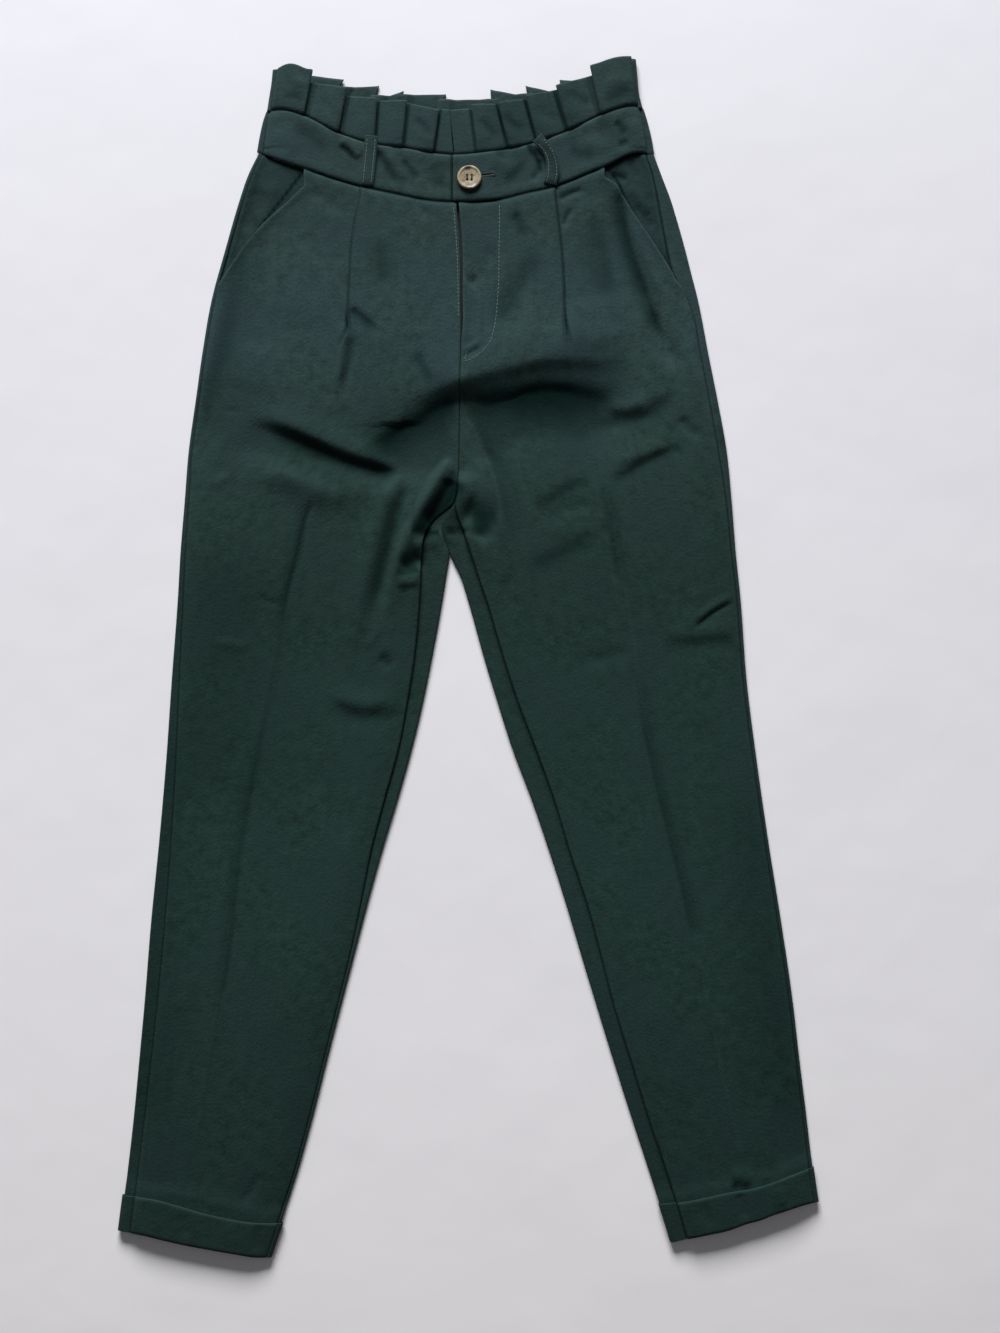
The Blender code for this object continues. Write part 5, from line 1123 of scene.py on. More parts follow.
def back_panel(side):
    s = SIGN[side]
    hip = stops(90, first=True)
    leg = np.linspace(0, 1, 178)[1:]
    (w_o, c_o, h_o), (w_i, c_i, h_i) = ROW_ENDS[side]
    all_o = np.r_[w_o + (c_o - w_o) * hip, c_o + (h_o - c_o) * leg]
    all_i = np.r_[w_i + (c_i - w_i) * hip, c_i + (h_i - c_i) * leg]
    outer_tab = OUTER_R if side == "right" else OUTER_L
    inner_tab = INNER_R if side == "right" else INNER_L
    rows = []
    for y_o, y_i in zip(all_o, all_i):
        x_e = float(smooth(outer_tab, "y", "edge", y_o))
        strip_o = float(smooth(outer_tab, "y", "strip", y_o))
        z0 = REST
        r_o = (FLOOR + EDGE_RISE - z0) / 2
        n_top = 7
        lie = np.linspace(0, 1, n_top)
        end_x = x_e - s * strip_o
        turn_x = x_e - s * min(r_o, strip_o * 0.8)
        out_arc = [(end_x + (turn_x - end_x) * k, z0 + 2 * r_o) for k in lie]
        for k in range(1, 9):
            angle = math.pi * (0.5 - k / 8)
            out_arc.append((x_e - s * min(r_o, strip_o * 0.8) + s * min(r_o, strip_o * 0.8) * math.cos(angle),
                            z0 + r_o + r_o * math.sin(angle)))
        x_i = float(smooth(inner_tab, "y", "edge", y_i))
        x_i += (3.0 if side == "right" else -0.6) * float(bell(y_i - 112.0, 20.0))
        seam_i = float(smooth(inner_tab, "y", "seam", y_i))
        turn = math.pi * float(ease((216.0 - y_i) / 88.0))
        strip_i = abs(seam_i - x_i)
        r_i = r_o
        reach = max(strip_i - r_i, 0.6) if turn > 3.0 else 0.6
        centre = x_i + s * (SEAM / 2 + r_i * math.sin(min(turn, math.pi / 2)) + 0.6 * max(math.cos(turn), 0))
        run = [out_arc[-1]]
        for k in range(17):
            angle = -math.pi / 2 + turn * k / 16
            run.append((centre - s * r_i * math.cos(angle), z0 + r_i + r_i * math.sin(angle)))
        run.append((run[-1][0] - s * reach * math.cos(turn), run[-1][1] + reach * math.sin(turn)))
        run = np.array(run)
        length = np.r_[0, np.cumsum(np.hypot(*np.diff(run, axis=0).T))]
        bend = max(r_i * turn, 3.0)
        start = length[-1] - reach - bend
        at = np.r_[np.linspace(0, start, 50)[1:], start + bend * np.linspace(0, 1, 11)[1:],
                   length[-1] - reach + reach * np.linspace(0, 1, 11)[1:]]
        inner = np.c_[np.interp(at, length, run[:, 0]), np.interp(at, length, run[:, 1])]
        path = np.vstack([np.array(out_arc), inner])
        ys = row_height(side, path[:, 0], np.searchsorted(-all_o, -y_o), all_o, all_i, x_e, x_i, False)
        rows.append(np.c_[path[:, 0], ys, path[:, 1]])
    points = np.array(rows)
    xs, ys, z = points[..., 0], points[..., 1], points[..., 2]
    outer, inner = edges(side, ys)
    high = ease((z - REST - 0.4) / 2.0)
    n = xs.shape[1]
    cols = np.arange(n)[None, :]
    upper_in = (cols > n - 18) * high
    lying = (1 - high) * dome(np.minimum(np.abs(xs - outer), np.abs(xs - inner) + 40 * (ys > 142)) / 30.0)
    hill = creases(xs, ys, "both", side)
    lift_in = np.clip(hill, -2.8, 4.0) * upper_in * 0.8
    raised = np.clip(creases(xs, ys, "back") + 0.35 * np.maximum(drift(xs, ys), 0), 0, 3.2) * lying
    z = z + lift_in + raised + over_turnup(side, xs, ys)
    d_start = np.hypot(xs - xs[:, :1], 0)
    from_start = np.abs(xs - xs[:, :1]) + 3.0 * (cols > 12)
    from_end = np.abs(xs - xs[:, -1:]) + 3.0 * (cols < n - 14)
    z -= 0.5 * bell(from_start, 0.9) + 0.5 * bell(from_end, 0.9) * (ys < 118)
    z = np.maximum(z, REST + over_turnup(side, xs, ys))
    points = np.stack([xs, ys, z], axis=2)
    grain = np.stack([xs + 0.17 * s * (ys - 200) + 300, ys * 1.02], axis=2)
    # Painted shade in the seam ditches and in the folds that stand off the floor.
    rub_and_painted_shade = seam_shade_mark(from_start) + seam_shade_mark(from_end) * (ys < 118) - 0.92 * painted_fold_shade(xs, ys) * (z > 2.6)
    return cloth_piece(f"back_panel_{side}", points, WALL, TWILL_BACK,
                       grain, rub_and_painted_shade)


def pocket_bag(side):
    s = SIGN[side]
    pocket = POCKET_R if side == "right" else POCKET_L
    outer_tab = OUTER_R if side == "right" else OUTER_L
    rows = []
    for v in np.linspace(0, 1, 90):
        y = 428.0 - (428.0 - 318.0) * min(v / 0.58, 1.0) - (178.0 - 110.0) * max(v - 0.58, 0) / 0.42
        seam = smooth(outer_tab, "y", "edge", y) - s * (smooth(outer_tab, "y", "strip", y) + 0.2)
        if y < 318.0:
            seam = seam - s * (2.5 + 0.10 * (318.0 - y)) * min((318.0 - y) / 6.0, 1.0)
        inner = s * (abs(smooth(pocket, "y", "x", min(y, 419.0))) - FACING_UNDER)
        low = s * (104.0 + 10 * ease((y - 300) / 100) + 14 * ease((270 - y) / 30) + (12 if side == "left" else 0))
        inner = low if abs(inner) > abs(low) else inner
        xs = seam + (inner - seam) * stops(34, first=True)
        waist = smooth(WAIST, "x", "y", xs) - 0.2
        ys = y + (waist - 428.0) * ease(1 - v / 0.45)
        reach = np.abs(xs - seam)
        under = np.maximum(ease(reach / 8.0), ease((352.0 - y) / 22.0))
        zs = top(side, xs, ys) - (LIFT + 1.6) * under
        rows.append(np.c_[xs, ys, zs])
    points = np.array(rows)
    xs, ys, z = points[..., 0], points[..., 1], points[..., 2]
    shown = ease((ys - 300.0) / 20.0)
    z = z + (np.minimum(creases(xs, ys, "facing"), 1.3) + 0.6 * np.minimum(creases(xs, ys, "both", side), 0.0)) * shown
    z -= 0.9 * bell(smooth(WAIST, "x", "y", xs) - ys, 1.5)
    from_seam = np.abs(xs - xs[:, :1])
    z -= 0.8 * bell(from_seam, 1.2) * shown
    z = np.maximum(z, 2.0)
    points[..., 2] = z
    # Painted shade over the shown facing and along the pocket opening, and the waist seam's painted shadow.
    rub_and_painted_shade = seam_shade_mark(from_seam) * shown + waist_seam_shadow(smooth(WAIST, "x", "y", xs) - ys) - 0.32 * shown
    rub_and_painted_shade = rub_and_painted_shade - 0.75 * bell(np.abs(xs - smooth(pocket, "y", "x", np.clip(ys, 318, 419))), 1.6) * shown
    return cloth_piece(f"pocket_bag_{side}", points, WALL * 0.8, POCKETING,
                       np.stack([xs * 0.8 + ys * 0.3 + 500, ys * 0.9 - xs * 0.3], axis=2), rub_and_painted_shade)


# -------------------------------------------------------------- the waistband
def band_front(side):
    s = SIGN[side]
    end = {"right": 15.0, "left": -13.2}[side]
    across = stops(150, first=True, last=True)
    rows = []
    for v in stops(40, first=True, last=True):
        side_x = {"right": -175.0 + 4.6 * v, "left": 151.4 - 6.4 * v}[side]
        xs = side_x + (end - side_x) * across
        low = smooth(WAIST, "x", "y", xs) + 0.2
        high = smooth(BAND_TOP, "x", "y", xs) - 0.2
        ys = low + (high - low) * v
        zs = top(side, xs, ys) + 0.3
        lap = 0.0
        if side == "left":
            zs = zs + (BAND + 0.25) * ease((34.0 - xs) / 16.0)
            lap = ease((10.0 - xs) / 6.0)
        d_low, d_high = ys - low, high - ys
        zs = zs + creases(xs, ys, "band") * (1.0 if side == "left" else ease((-14.0 - xs) / 10.0)) + 0.5 * drift(xs * 1.7, ys * 1.7)
        zs = zs - 1.0 * bell(d_low, 1.4) - 0.7 * bell(d_high, 1.2)
        zs = zs + 0.4 * bell(d_low - 5.0, 4.0) + 0.3 * bell(d_high - 5.0, 4.0)
        zs = zs - 0.7 * bell(np.abs(xs - side_x), 1.4)
        if side == "left":
            zs = zs - 0.45 * bell(np.abs(xs - end), 0.8) + 0.15 * lap
            # the buttonhole's slit
            zs = zs + crease(xs, ys, -1.1, 0.8, 0.8, 0, .2, 0, [(4.2, 408.8), (11, 409.1), (20.4, 410.3)])
        rows.append(np.c_[xs, ys, zs])
    points = np.array(rows)
    xs, ys = points[..., 0], points[..., 1]
    d_high = smooth(BAND_TOP, "x", "y", xs) - ys
    d_low = ys - smooth(WAIST, "x", "y", xs)
    # A paler top edge, partly wear and partly painted highlight; painted shadow in the waist seam and in the band's
    # folds.
    rub_and_painted_shade = 0.22 * bell(d_high - 0.8, 0.9) + waist_seam_shadow(d_low) - 0.85 * painted_fold_shade(xs, ys, "dusk")
    # Left band: a pale end edge and painted shade in the buttonhole's slit; right band: painted shadow where the left
    # band's end lies over it.
    if side == "left":
        rub_and_painted_shade = rub_and_painted_shade + 0.2 * bell(np.abs(xs - end), 0.9) - 0.9 * crease(xs, ys, 1.0, 0.7, 0.7, 0, .2, 0, [(4.2, 408.8), (11, 409.1), (20.4, 410.3)])
    else:
        rub_and_painted_shade = rub_and_painted_shade - 0.9 * bell(xs + 14.4, 1.4)
    return cloth_piece(f"waistband_front_{side}", points, 1.1, TWILL,
                       np.stack([ys - 0.25 * s * xs + 700, xs], axis=2), rub_and_painted_shade)


def band_back():
    rows = []
    for v in stops(30, first=True, last=True):
        y_side = 430.0 + 34.0 * v
        z_low, z_high = 0.7, FLOOR + EDGE_RISE + 0.4
        left = smooth(SIDES, "y", "left", y_side)
        right = smooth(SIDES, "y", "right", y_side)
        a = side_arc(left, 1.0, z_low, z_high, 151.8 - 6.4 * v)
        b = side_arc(right, -1.0, z_low, z_high, -175.4 + 4.6 * v)
        flat = [(x, z_low) for x in np.linspace(a[-1][0], b[-1][0], 12)[1:-1]]
        path = np.array(a + flat + b[::-1])
        low = smooth(WAIST_BACK, "x", "y", path[:, 0]) + 0.2
        high = smooth(BAND_TOP_BACK, "x", "y", path[:, 0]) - 0.2
        rows.append(np.c_[path[:, 0], low + (high - low) * v, path[:, 1]])
    points = refine(np.array(rows), 2.2, 2, 2)
    xs, ys, z = points[..., 0], points[..., 1], points[..., 2]
    low = smooth(WAIST_BACK, "x", "y", xs)
    high = smooth(BAND_TOP_BACK, "x", "y", xs)
    lying = ease((2.0 - z) / 1.0)
    lift = 0.5 * bell(ys - low, 1.4) + 0.5 * bell(high - ys, 1.4)
    ripple = 0.35 * np.maximum(0, np.sin(xs / 8.3 + 1.4 * np.sin(ys / 11.0)) - 0.35)
    z = z + (lift + ripple) * lying - 0.5 * (bell(ys - low, 1.4) + bell(high - ys, 1.4)) * (1 - lying)
    points[..., 2] = z
    return cloth_piece("waistband_back", points, 1.1, TWILL_BACK,
                       np.stack([ys + 900, xs], axis=2), 0.5 * bell(high - ys, 1.3))


# ------------------------------------------------------------------ the frill
def frill_front(side):
    s = SIGN[side]
    tab = FRILL_R if side == "right" else FRILL_L
    side_foot, side_top, y_side = {"right": (-168.3, -162.4, 500.0), "left": (143.4, 137.7, 510.5)}[side]
    count = len(tab["foot"])
    rows = []
    marks = []
    for v in stops(34, first=True, last=False):
        path = []
        mark = []
        foot_x, top_x = side_foot, side_top
        z_start = 1.0
        for k in range(count):
            f, t = tab["foot"][k], tab["top"][k]
            y_a, y_b = tab["start"][k], tab["end"][k]
            x0 = foot_x + (top_x - foot_x) * v
            x1 = f + (t - f) * v
            bow = (0.5 + 0.25 * math.sin(2.1 * k + 0.7)) * v
            for q in np.linspace(0, 1, 15):
                x = x0 + (x1 - x0) * q
                y_top = y_side + (y_b - y_side) * q if k == 0 else y_a + (y_b - y_a) * q
                if k == 0:      # the outermost pleat's corner is turned back over the side
                    y_top += (5.0 if side == "right" else 1.8) * math.sin(math.pi * min(q * 1.25, 1.0)) * (1 - q * 0.4)
                up = z_start + (1.0 - z_start) * ease((q - 0.30) / 0.5)
                if k == count - 1:
                    up = z_start * (1 - q) + 0.12 * math.sin(math.pi * q)
                up += 0.16 * bow * math.sin(math.pi * q) + 0.10 * v * ease((q - 0.75) / 0.25)
                path.append((x, y_top, up))
                # A pale fold edge, partly wear and partly painted highlight, and painted shadow where the cloth comes
                # out from under the pleat before it.
                mark.append(0.14 * bell((1 - q) * abs(x1 - x0), 0.9) - (0.85 * bell(q * abs(x1 - x0) - PLEAT_UNDER - 0.6, 1.3) if k else 0.0))
            if k < count - 1:
                back = x1 + s * PLEAT_UNDER
                y_n = tab["start"][k + 1]
                # Painted shade on the cloth folded back under the pleat.
                for q in (0.15, 0.5, 0.85):
                    path.append((x1 + (back - x1) * q, y_b + (y_n - y_b) * q, 0.56 - 0.12 * q))
                    mark.append(-0.7)
                path.append((back, y_n, 0.30))
                mark.append(0)
                foot_x, top_x = f + s * PLEAT_UNDER, t + s * PLEAT_UNDER
                z_start = 0.0
        path = np.array(path)
        xs = path[:, 0]
        foot = smooth(BAND_TOP, "x", "y", xs) + 0.2
        ys = foot + (path[:, 1] - foot) * v
        base = top(side, xs, np.minimum(ys, 466.0)) - 0.3
        zs = base + path[:, 2] * 2 * PLEAT_PITCH * (0.72 + 0.28 * ease(v / 0.35))
        zs = zs + creases(xs, ys, "frill") + 0.35 * drift(xs * 1.6, ys * 1.6) * v - 1.2 * bell(ys - foot, 1.6)
        rows.append(np.c_[xs, ys, zs])
        # A paler top edge, and painted shadow at the foot seam.
        marks.append(np.array(mark) + 0.15 * bell((1 - v) * 40.0, 1.2) - 0.7 * bell(ys - foot, 1.2))
    points = np.array(rows)
    points[:, 1:-1] = (points[:, :-2] + 2 * points[:, 1:-1] + points[:, 2:]) / 4
    xs, ys = points[..., 0], points[..., 1]
    run = np.cumsum(np.abs(np.diff(xs, axis=1, prepend=xs[:, :1])), axis=1)
    # with painted shadow in the frill's folds
    return cloth_piece(f"frill_front_{side}", points, WALL, TWILL,
                       np.stack([run + 1200, ys], axis=2),
                       np.array(marks) - 0.8 * painted_fold_shade(xs, ys, "dusk"))


def frill_back():
    rows = []
    count = len(FRILL_BACK["foot"])
    for v in stops(30, first=True):
        z_low = 0.55
        z_high = FLOOR + EDGE_RISE + 2.8
        y_ref = 466.0 + 36.0 * v
        right_x = smooth(SIDES, "y", "right", y_ref)
        left_x = smooth(SIDES, "y", "left", y_ref)
        a = side_arc(right_x, -1.0, z_low, z_high, -168.9 + 5.9 * v)
        b = side_arc(left_x, 1.0, z_low, z_high, 144.0 - 5.7 * v)
        path = [(x, 500.5, z) for x, z in a]
        for k in range(count):
            x1 = FRILL_BACK["foot"][k] + (FRILL_BACK["top"][k] - FRILL_BACK["foot"][k]) * v
            y_a, y_b = FRILL_BACK["start"][k], FRILL_BACK["end"][k]
            if k < count / 2:
                path += [(x1, y_a, z_low), (x1, y_a, z_low + PLEAT_PITCH * 0.95),
                         (x1 - 6.0, y_b, z_low + PLEAT_PITCH * 1.05), (x1 - 6.0, y_b, z_low + 2 * PLEAT_PITCH),
                         (x1 + 3.0, y_b, z_low + 2 * PLEAT_PITCH), (x1 + 9.0, y_b, z_low)]
            else:
                path += [(x1 - 9.0, y_a, z_low), (x1 - 3.0, y_a, z_low + 2 * PLEAT_PITCH),
                         (x1 + 6.0, y_a, z_low + 2 * PLEAT_PITCH), (x1 + 6.0, y_a, z_low + PLEAT_PITCH * 1.05),
                         (x1, y_b, z_low + PLEAT_PITCH * 0.95), (x1, y_b, z_low)]
        path += [(x, 509.5, z) for x, z in b[::-1]]
        path = np.array(path)
        foot = smooth(BAND_TOP_BACK, "x", "y", path[:, 0]) + 0.2
        rows.append(np.c_[path[:, 0], foot + (path[:, 1] - foot) * v, path[:, 2]])
    points = refine(np.array(rows), 1.5, 1, 2)
    xs, ys, z = points[..., 0], points[..., 1], points[..., 2]
    foot = smooth(BAND_TOP_BACK, "x", "y", xs)
    v = np.clip((ys - foot) / 38.0, 0, 1)
    z = z + (0.7 * np.maximum(0, np.sin(xs / 9.0 + 0.8)) + 0.5 * np.maximum(0, np.sin(xs / 5.1 + 2.0))) * v * ease((3.0 - z) / 1.5)
    points[..., 2] = z
    run = np.cumsum(np.abs(np.diff(xs, axis=1, prepend=xs[:, :1])), axis=1)
    rub_and_painted_shade = np.zeros(xs.shape)
    rub_and_painted_shade[-2:] = 0.15
    return cloth_piece("frill_back", points, WALL, TWILL_BACK,
                       np.stack([run + 1600, ys], axis=2), rub_and_painted_shade)


# --------------------------------------------------------------- the turn-ups
def turnup(side, front):
    s = SIGN[side]
    outer_tab = OUTER_R if side == "right" else OUTER_L
    inner_tab = INNER_R if side == "right" else INNER_L
    foot_tab = FOOT_R if side == "right" else FOOT_L
    edge_tab = TURNUP_R if side == "right" else TURNUP_L
    off = LIFT - 0.05
    y_o, y_i = ROW_ENDS[side][0][2], ROW_ENDS[side][1][2]
    flare = 2.4
    rows = []
    for v in stops(24, first=True, last=True):
        y_a, y_b = y_o + CUFF_OVER * v, y_i + CUFF_OVER * v
        e_o = smooth(outer_tab, "y", "edge", y_a) + s * (flare if side == "right" else 1.6)
        e_i = smooth(inner_tab, "y", "edge", y_b) - s * 1.3
        seam_o = smooth(outer_tab, "y", "edge", y_a) - s * smooth(outer_tab, "y", "strip", y_a)
        seam_i = smooth(inner_tab, "y", "seam", y_b)
        z_low, z_high = REST, FLOOR + EDGE_RISE + 2 * off + 0.6
        if front:
            xs = (seam_o - s * 0.16) + (seam_i - seam_o + s * 0.32) * stops(84, first=True, last=True)
            zs = None
        else:
            a = side_arc(e_o, s, z_low, z_high, seam_o)
            b = side_arc(e_i, -s, z_low, z_high, seam_i)
            flat = [(x, z_low) for x in np.linspace(a[-1][0], b[-1][0], 6)[1:-1]]
            path = np.array(a + flat + b[::-1])
            xs, zs = path[:, 0], path[:, 1]
        low = smooth(foot_tab, "x", "y", xs)
        high = smooth(edge_tab, "x", "y", xs)
        ys = low + (high - low) * v
        if front:
            zs = top(side, xs, ys) + off + 0.35 + creases(xs, ys, "turnup") + 0.3 * drift(xs * 1.6, ys * 1.6)
            zs = zs - 0.9 * bell((1 - v) * 31.0, 0.9) - 1.3 * bell(v * 31.0, 1.1)
            zs = zs - 0.8 * bell(np.abs(xs - xs[0]), 1.1) - 0.6 * bell(np.abs(xs - xs[-1]), 1.1)
        rows.append(np.c_[xs, ys, zs])
    points = np.array(rows)
    if not front:
        points = refine(points, 2.2, 2, 2)
    xs, ys = points[..., 0], points[..., 1]
    # A pale upper fold edge and foot, partly wear and partly painted highlight; painted shade in the seam ditches of
    # the front.
    rub_and_painted_shade = np.zeros(xs.shape)
    rub_and_painted_shade[-1:] = 0.45
    rub_and_painted_shade[-2:-1] = 0.2
    rub_and_painted_shade[:1] = 0.12
    if front:
        rub_and_painted_shade = rub_and_painted_shade + seam_shade_mark(np.abs(xs - xs[:, :1])) + seam_shade_mark(np.abs(xs - xs[:, -1:]))
    name = f"turnup_{'front' if front else 'back'}_{side}"
    return cloth_piece(name, points, WALL, TWILL if front else TWILL_BACK,
                       np.stack([xs + 0.15 * s * ys + 2000, ys], axis=2), rub_and_painted_shade)


# -------------------------------------------------------- loops, fly, button
LOOPS = {}


def belt_loop(side):
    if side == "right":
        centre = table("v x y lift width roll", [
            (0, -86.4, 400.9, 1.2, 10.8, 0), (0.06, -86.3, 403.2, 1.9, 10.8, 0), (0.25, -85.6, 409.6, 2.6, 10.8, 0),
            (0.5, -84.7, 419.2, 2.9, 10.8, 0), (0.75, -83.7, 429.0, 3.3, 10.8, 0), (0.93, -82.8, 438.6, 4.2, 10.8, 0),
            (1, -82.5, 442.0, 4.4, 10.8, 0)])
    else:
        centre = table("v x y lift width roll", [
            (0, 69.1, 401.6, 1.2, 11.2, 0), (0.08, 69.6, 404.4, 2.2, 11.2, 0), (0.3, 70.9, 411.5, 3.2, 11.0, 0.05),
            (0.5, 70.6, 419.2, 4.2, 10.0, 0.2), (0.7, 68.0, 427.4, 5.2, 8.8, 0.45), (0.87, 63.0, 434.4, 5.4, 8.4, 0.6),
            (1, 57.6, 440.2, 4.6, 9.2, 0.3)])
    n, m = 60, 17
    rows = []
    at = np.linspace(0, 1, n)
    cx, cy = smooth(centre, "v", "x", at), smooth(centre, "v", "y", at)
    lift, width, roll = (smooth(centre, "v", c, at) for c in ("lift", "width", "roll"))
    for i in range(n):
        a, b = max(i - 1, 0), min(i + 1, n - 1)
        dx, dy = cx[b] - cx[a], cy[b] - cy[a]
        size = math.hypot(dx, dy)
        ax, ay = dy / size, -dx / size
        q = np.linspace(-0.5, 0.5, m)
        across = q * width[i]
        xs, ys = cx[i] + ax * across, cy[i] + ay * across
        base = float(np.max(top(side, xs, ys))) + 0.5
        zs = base + lift[i] + 0.35 * (1 - (2 * q) ** 4) - 0.25 + roll[i] * q * width[i] * 0.8
        zs = zs - 0.28 * (bell(np.abs(across) - width[i] * 0.31, 0.55))
        rows.append(np.c_[xs, ys, zs])
    points = np.array(rows)
    LOOPS[side] = (points, width)
    rub_and_painted_shade = np.zeros((n, m))
    rub_and_painted_shade[:, :1] = rub_and_painted_shade[:, -1:] = 0.25
    grain = np.stack([np.tile(np.linspace(0, 11, m), (n, 1)) + 2400, np.tile(at[:, None] * 41, (1, m))], axis=2)
    return cloth_piece(f"belt_loop_{side}", points, 1.0, TWILL, grain, rub_and_painted_shade)


def stitch(path, length, gap, width, height, out):
    """Adds a row of stitches, each a small thread that dips at both ends."""
    p = np.array(path, dtype=float)
    step = np.linalg.norm(np.diff(p, axis=0), axis=1)
    run = np.r_[0, np.cumsum(step)]
    verts, faces = out
    sides, rings = 6, 5
    for k in range(int(run[-1] // (length + gap))):
        s0 = k * (length + gap) + gap / 2
        s = np.linspace(s0, s0 + length, rings)
        c = np.stack([np.interp(s, run, p[:, i]) for i in range(3)], axis=1)
        along = c[-1] - c[0]
        along /= np.linalg.norm(along)
        across = np.cross(along, (0, 0, 1.0))
        across /= max(np.linalg.norm(across), 1e-9)
        normal = np.cross(across, along)
        first = len(verts)
        for i in range(rings):
            swell = math.sin(math.pi * (0.12 + 0.76 * i / (rings - 1)))
            r = width / 2 * (0.55 + 0.45 * swell)
            mid = c[i] + normal * (height * (swell - 0.45))
            for j in range(sides):
                ang = 2 * math.pi * j / sides
                verts.append(tuple(mid + across * (r * math.cos(ang)) + normal * (r * 0.8 * math.sin(ang))))
        for i in range(rings - 1):
            for j in range(sides):
                a, b = first + i * sides + j, first + i * sides + (j + 1) % sides
                faces.append((a, b, b + sides, a + sides))
        faces.append(tuple(first + j for j in range(sides))[::-1])
        faces.append(tuple(first + (rings - 1) * sides + j for j in range(sides)))


def thread_piece(name, out, mat):
    verts = (np.array(out[0]) + np.array((*SHIFT, 0.0))) * MM
    obj = mesh_object(name, verts, out[1], mat)
    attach(obj, "root")
    return obj


def on_surface(name, points, lift, steps=6, reach=1.6):
    line = rounded(points, steps)
    z = height_at(name, line[:, 0], line[:, 1], reach)
    z[1:-1] = (z[:-2] + 2 * z[1:-1] + z[2:]) / 4
    return np.c_[line, z + lift]


def stitches():
    loops = ([], [])
    for side in ("right", "left"):
        points, width = LOOPS[side]
        for place in (3, 13):
            row = points[2:-3, place] + np.array((0, 0, 0.62))
            stitch(row, 2.1, 0.75, 0.42, 0.18, loops)
    thread_piece("stitches_belt_loops", loops, THREAD)
    fly = ([], [])
    j_line = on_surface("front_panel_left", [(25.9, 383.8), (25.9, 363.4), (25.5, 347.2), (25.1, 316.6), (22.9, 288.6), (20.4, 275.8), (17, 266.5), (9.3, 258), (0.8, 252.4), (-5.1, 251.2)], 0.48)
    stitch(j_line, 2.5, 0.8, 0.42, 0.14, fly)
    edge = on_surface("front_panel_right", [(-12.9, 382.1), (-11, 357.4), (-9.7, 336.2), (-9.2, 312.4), (-8.8, 288.6)], 0.48)
    stitch(edge, 2.3, 0.8, 0.40, 0.14, fly)
    edge = on_surface("front_panel_left", [(-2.2, 259.7), (-2.9, 255.4), (-4.6, 252)], 0.5)
    stitch(edge, 2.0, 0.5, 0.40, 0.14, fly)
    thread_piece("stitches_fly", fly, THREAD)
    # the buttonhole: short stitches across both lips of the slit, and its bar
    hole = ([], [])
    line = rounded([(4.2, 408.9), (11, 409.2), (20.8, 410.3)], 10)
    z = height_at("waistband_front_left", line[:, 0], line[:, 1] + 1.6, 1.8)
    run = np.r_[0, np.cumsum(np.hypot(*np.diff(line, axis=0).T))]
    for d in np.arange(1.0, run[-1], 0.62):
        x, y = np.interp(d, run, line[:, 0]), np.interp(d, run, line[:, 1])
        h = float(np.interp(d, run, z)) + 0.62
        for sign in (-1, 1):
            stitch([(x, y + sign * 0.45, h - 0.15), (x + 0.1, y + sign * 2.0, h)], 1.3, 0.1, 0.5, 0.12, hole)
    x, y = line[-1]
    for d in np.linspace(-1.6, 1.6, 6):
        stitch([(x - 0.4, y + d, float(z[-1]) + 0.6), (x + 1.5, y + d * 0.9, float(z[-1]) + 0.6)], 1.6, 0.1, 0.55, 0.12, hole)
    thread_piece("stitches_buttonhole", hole, THREAD_DARK)


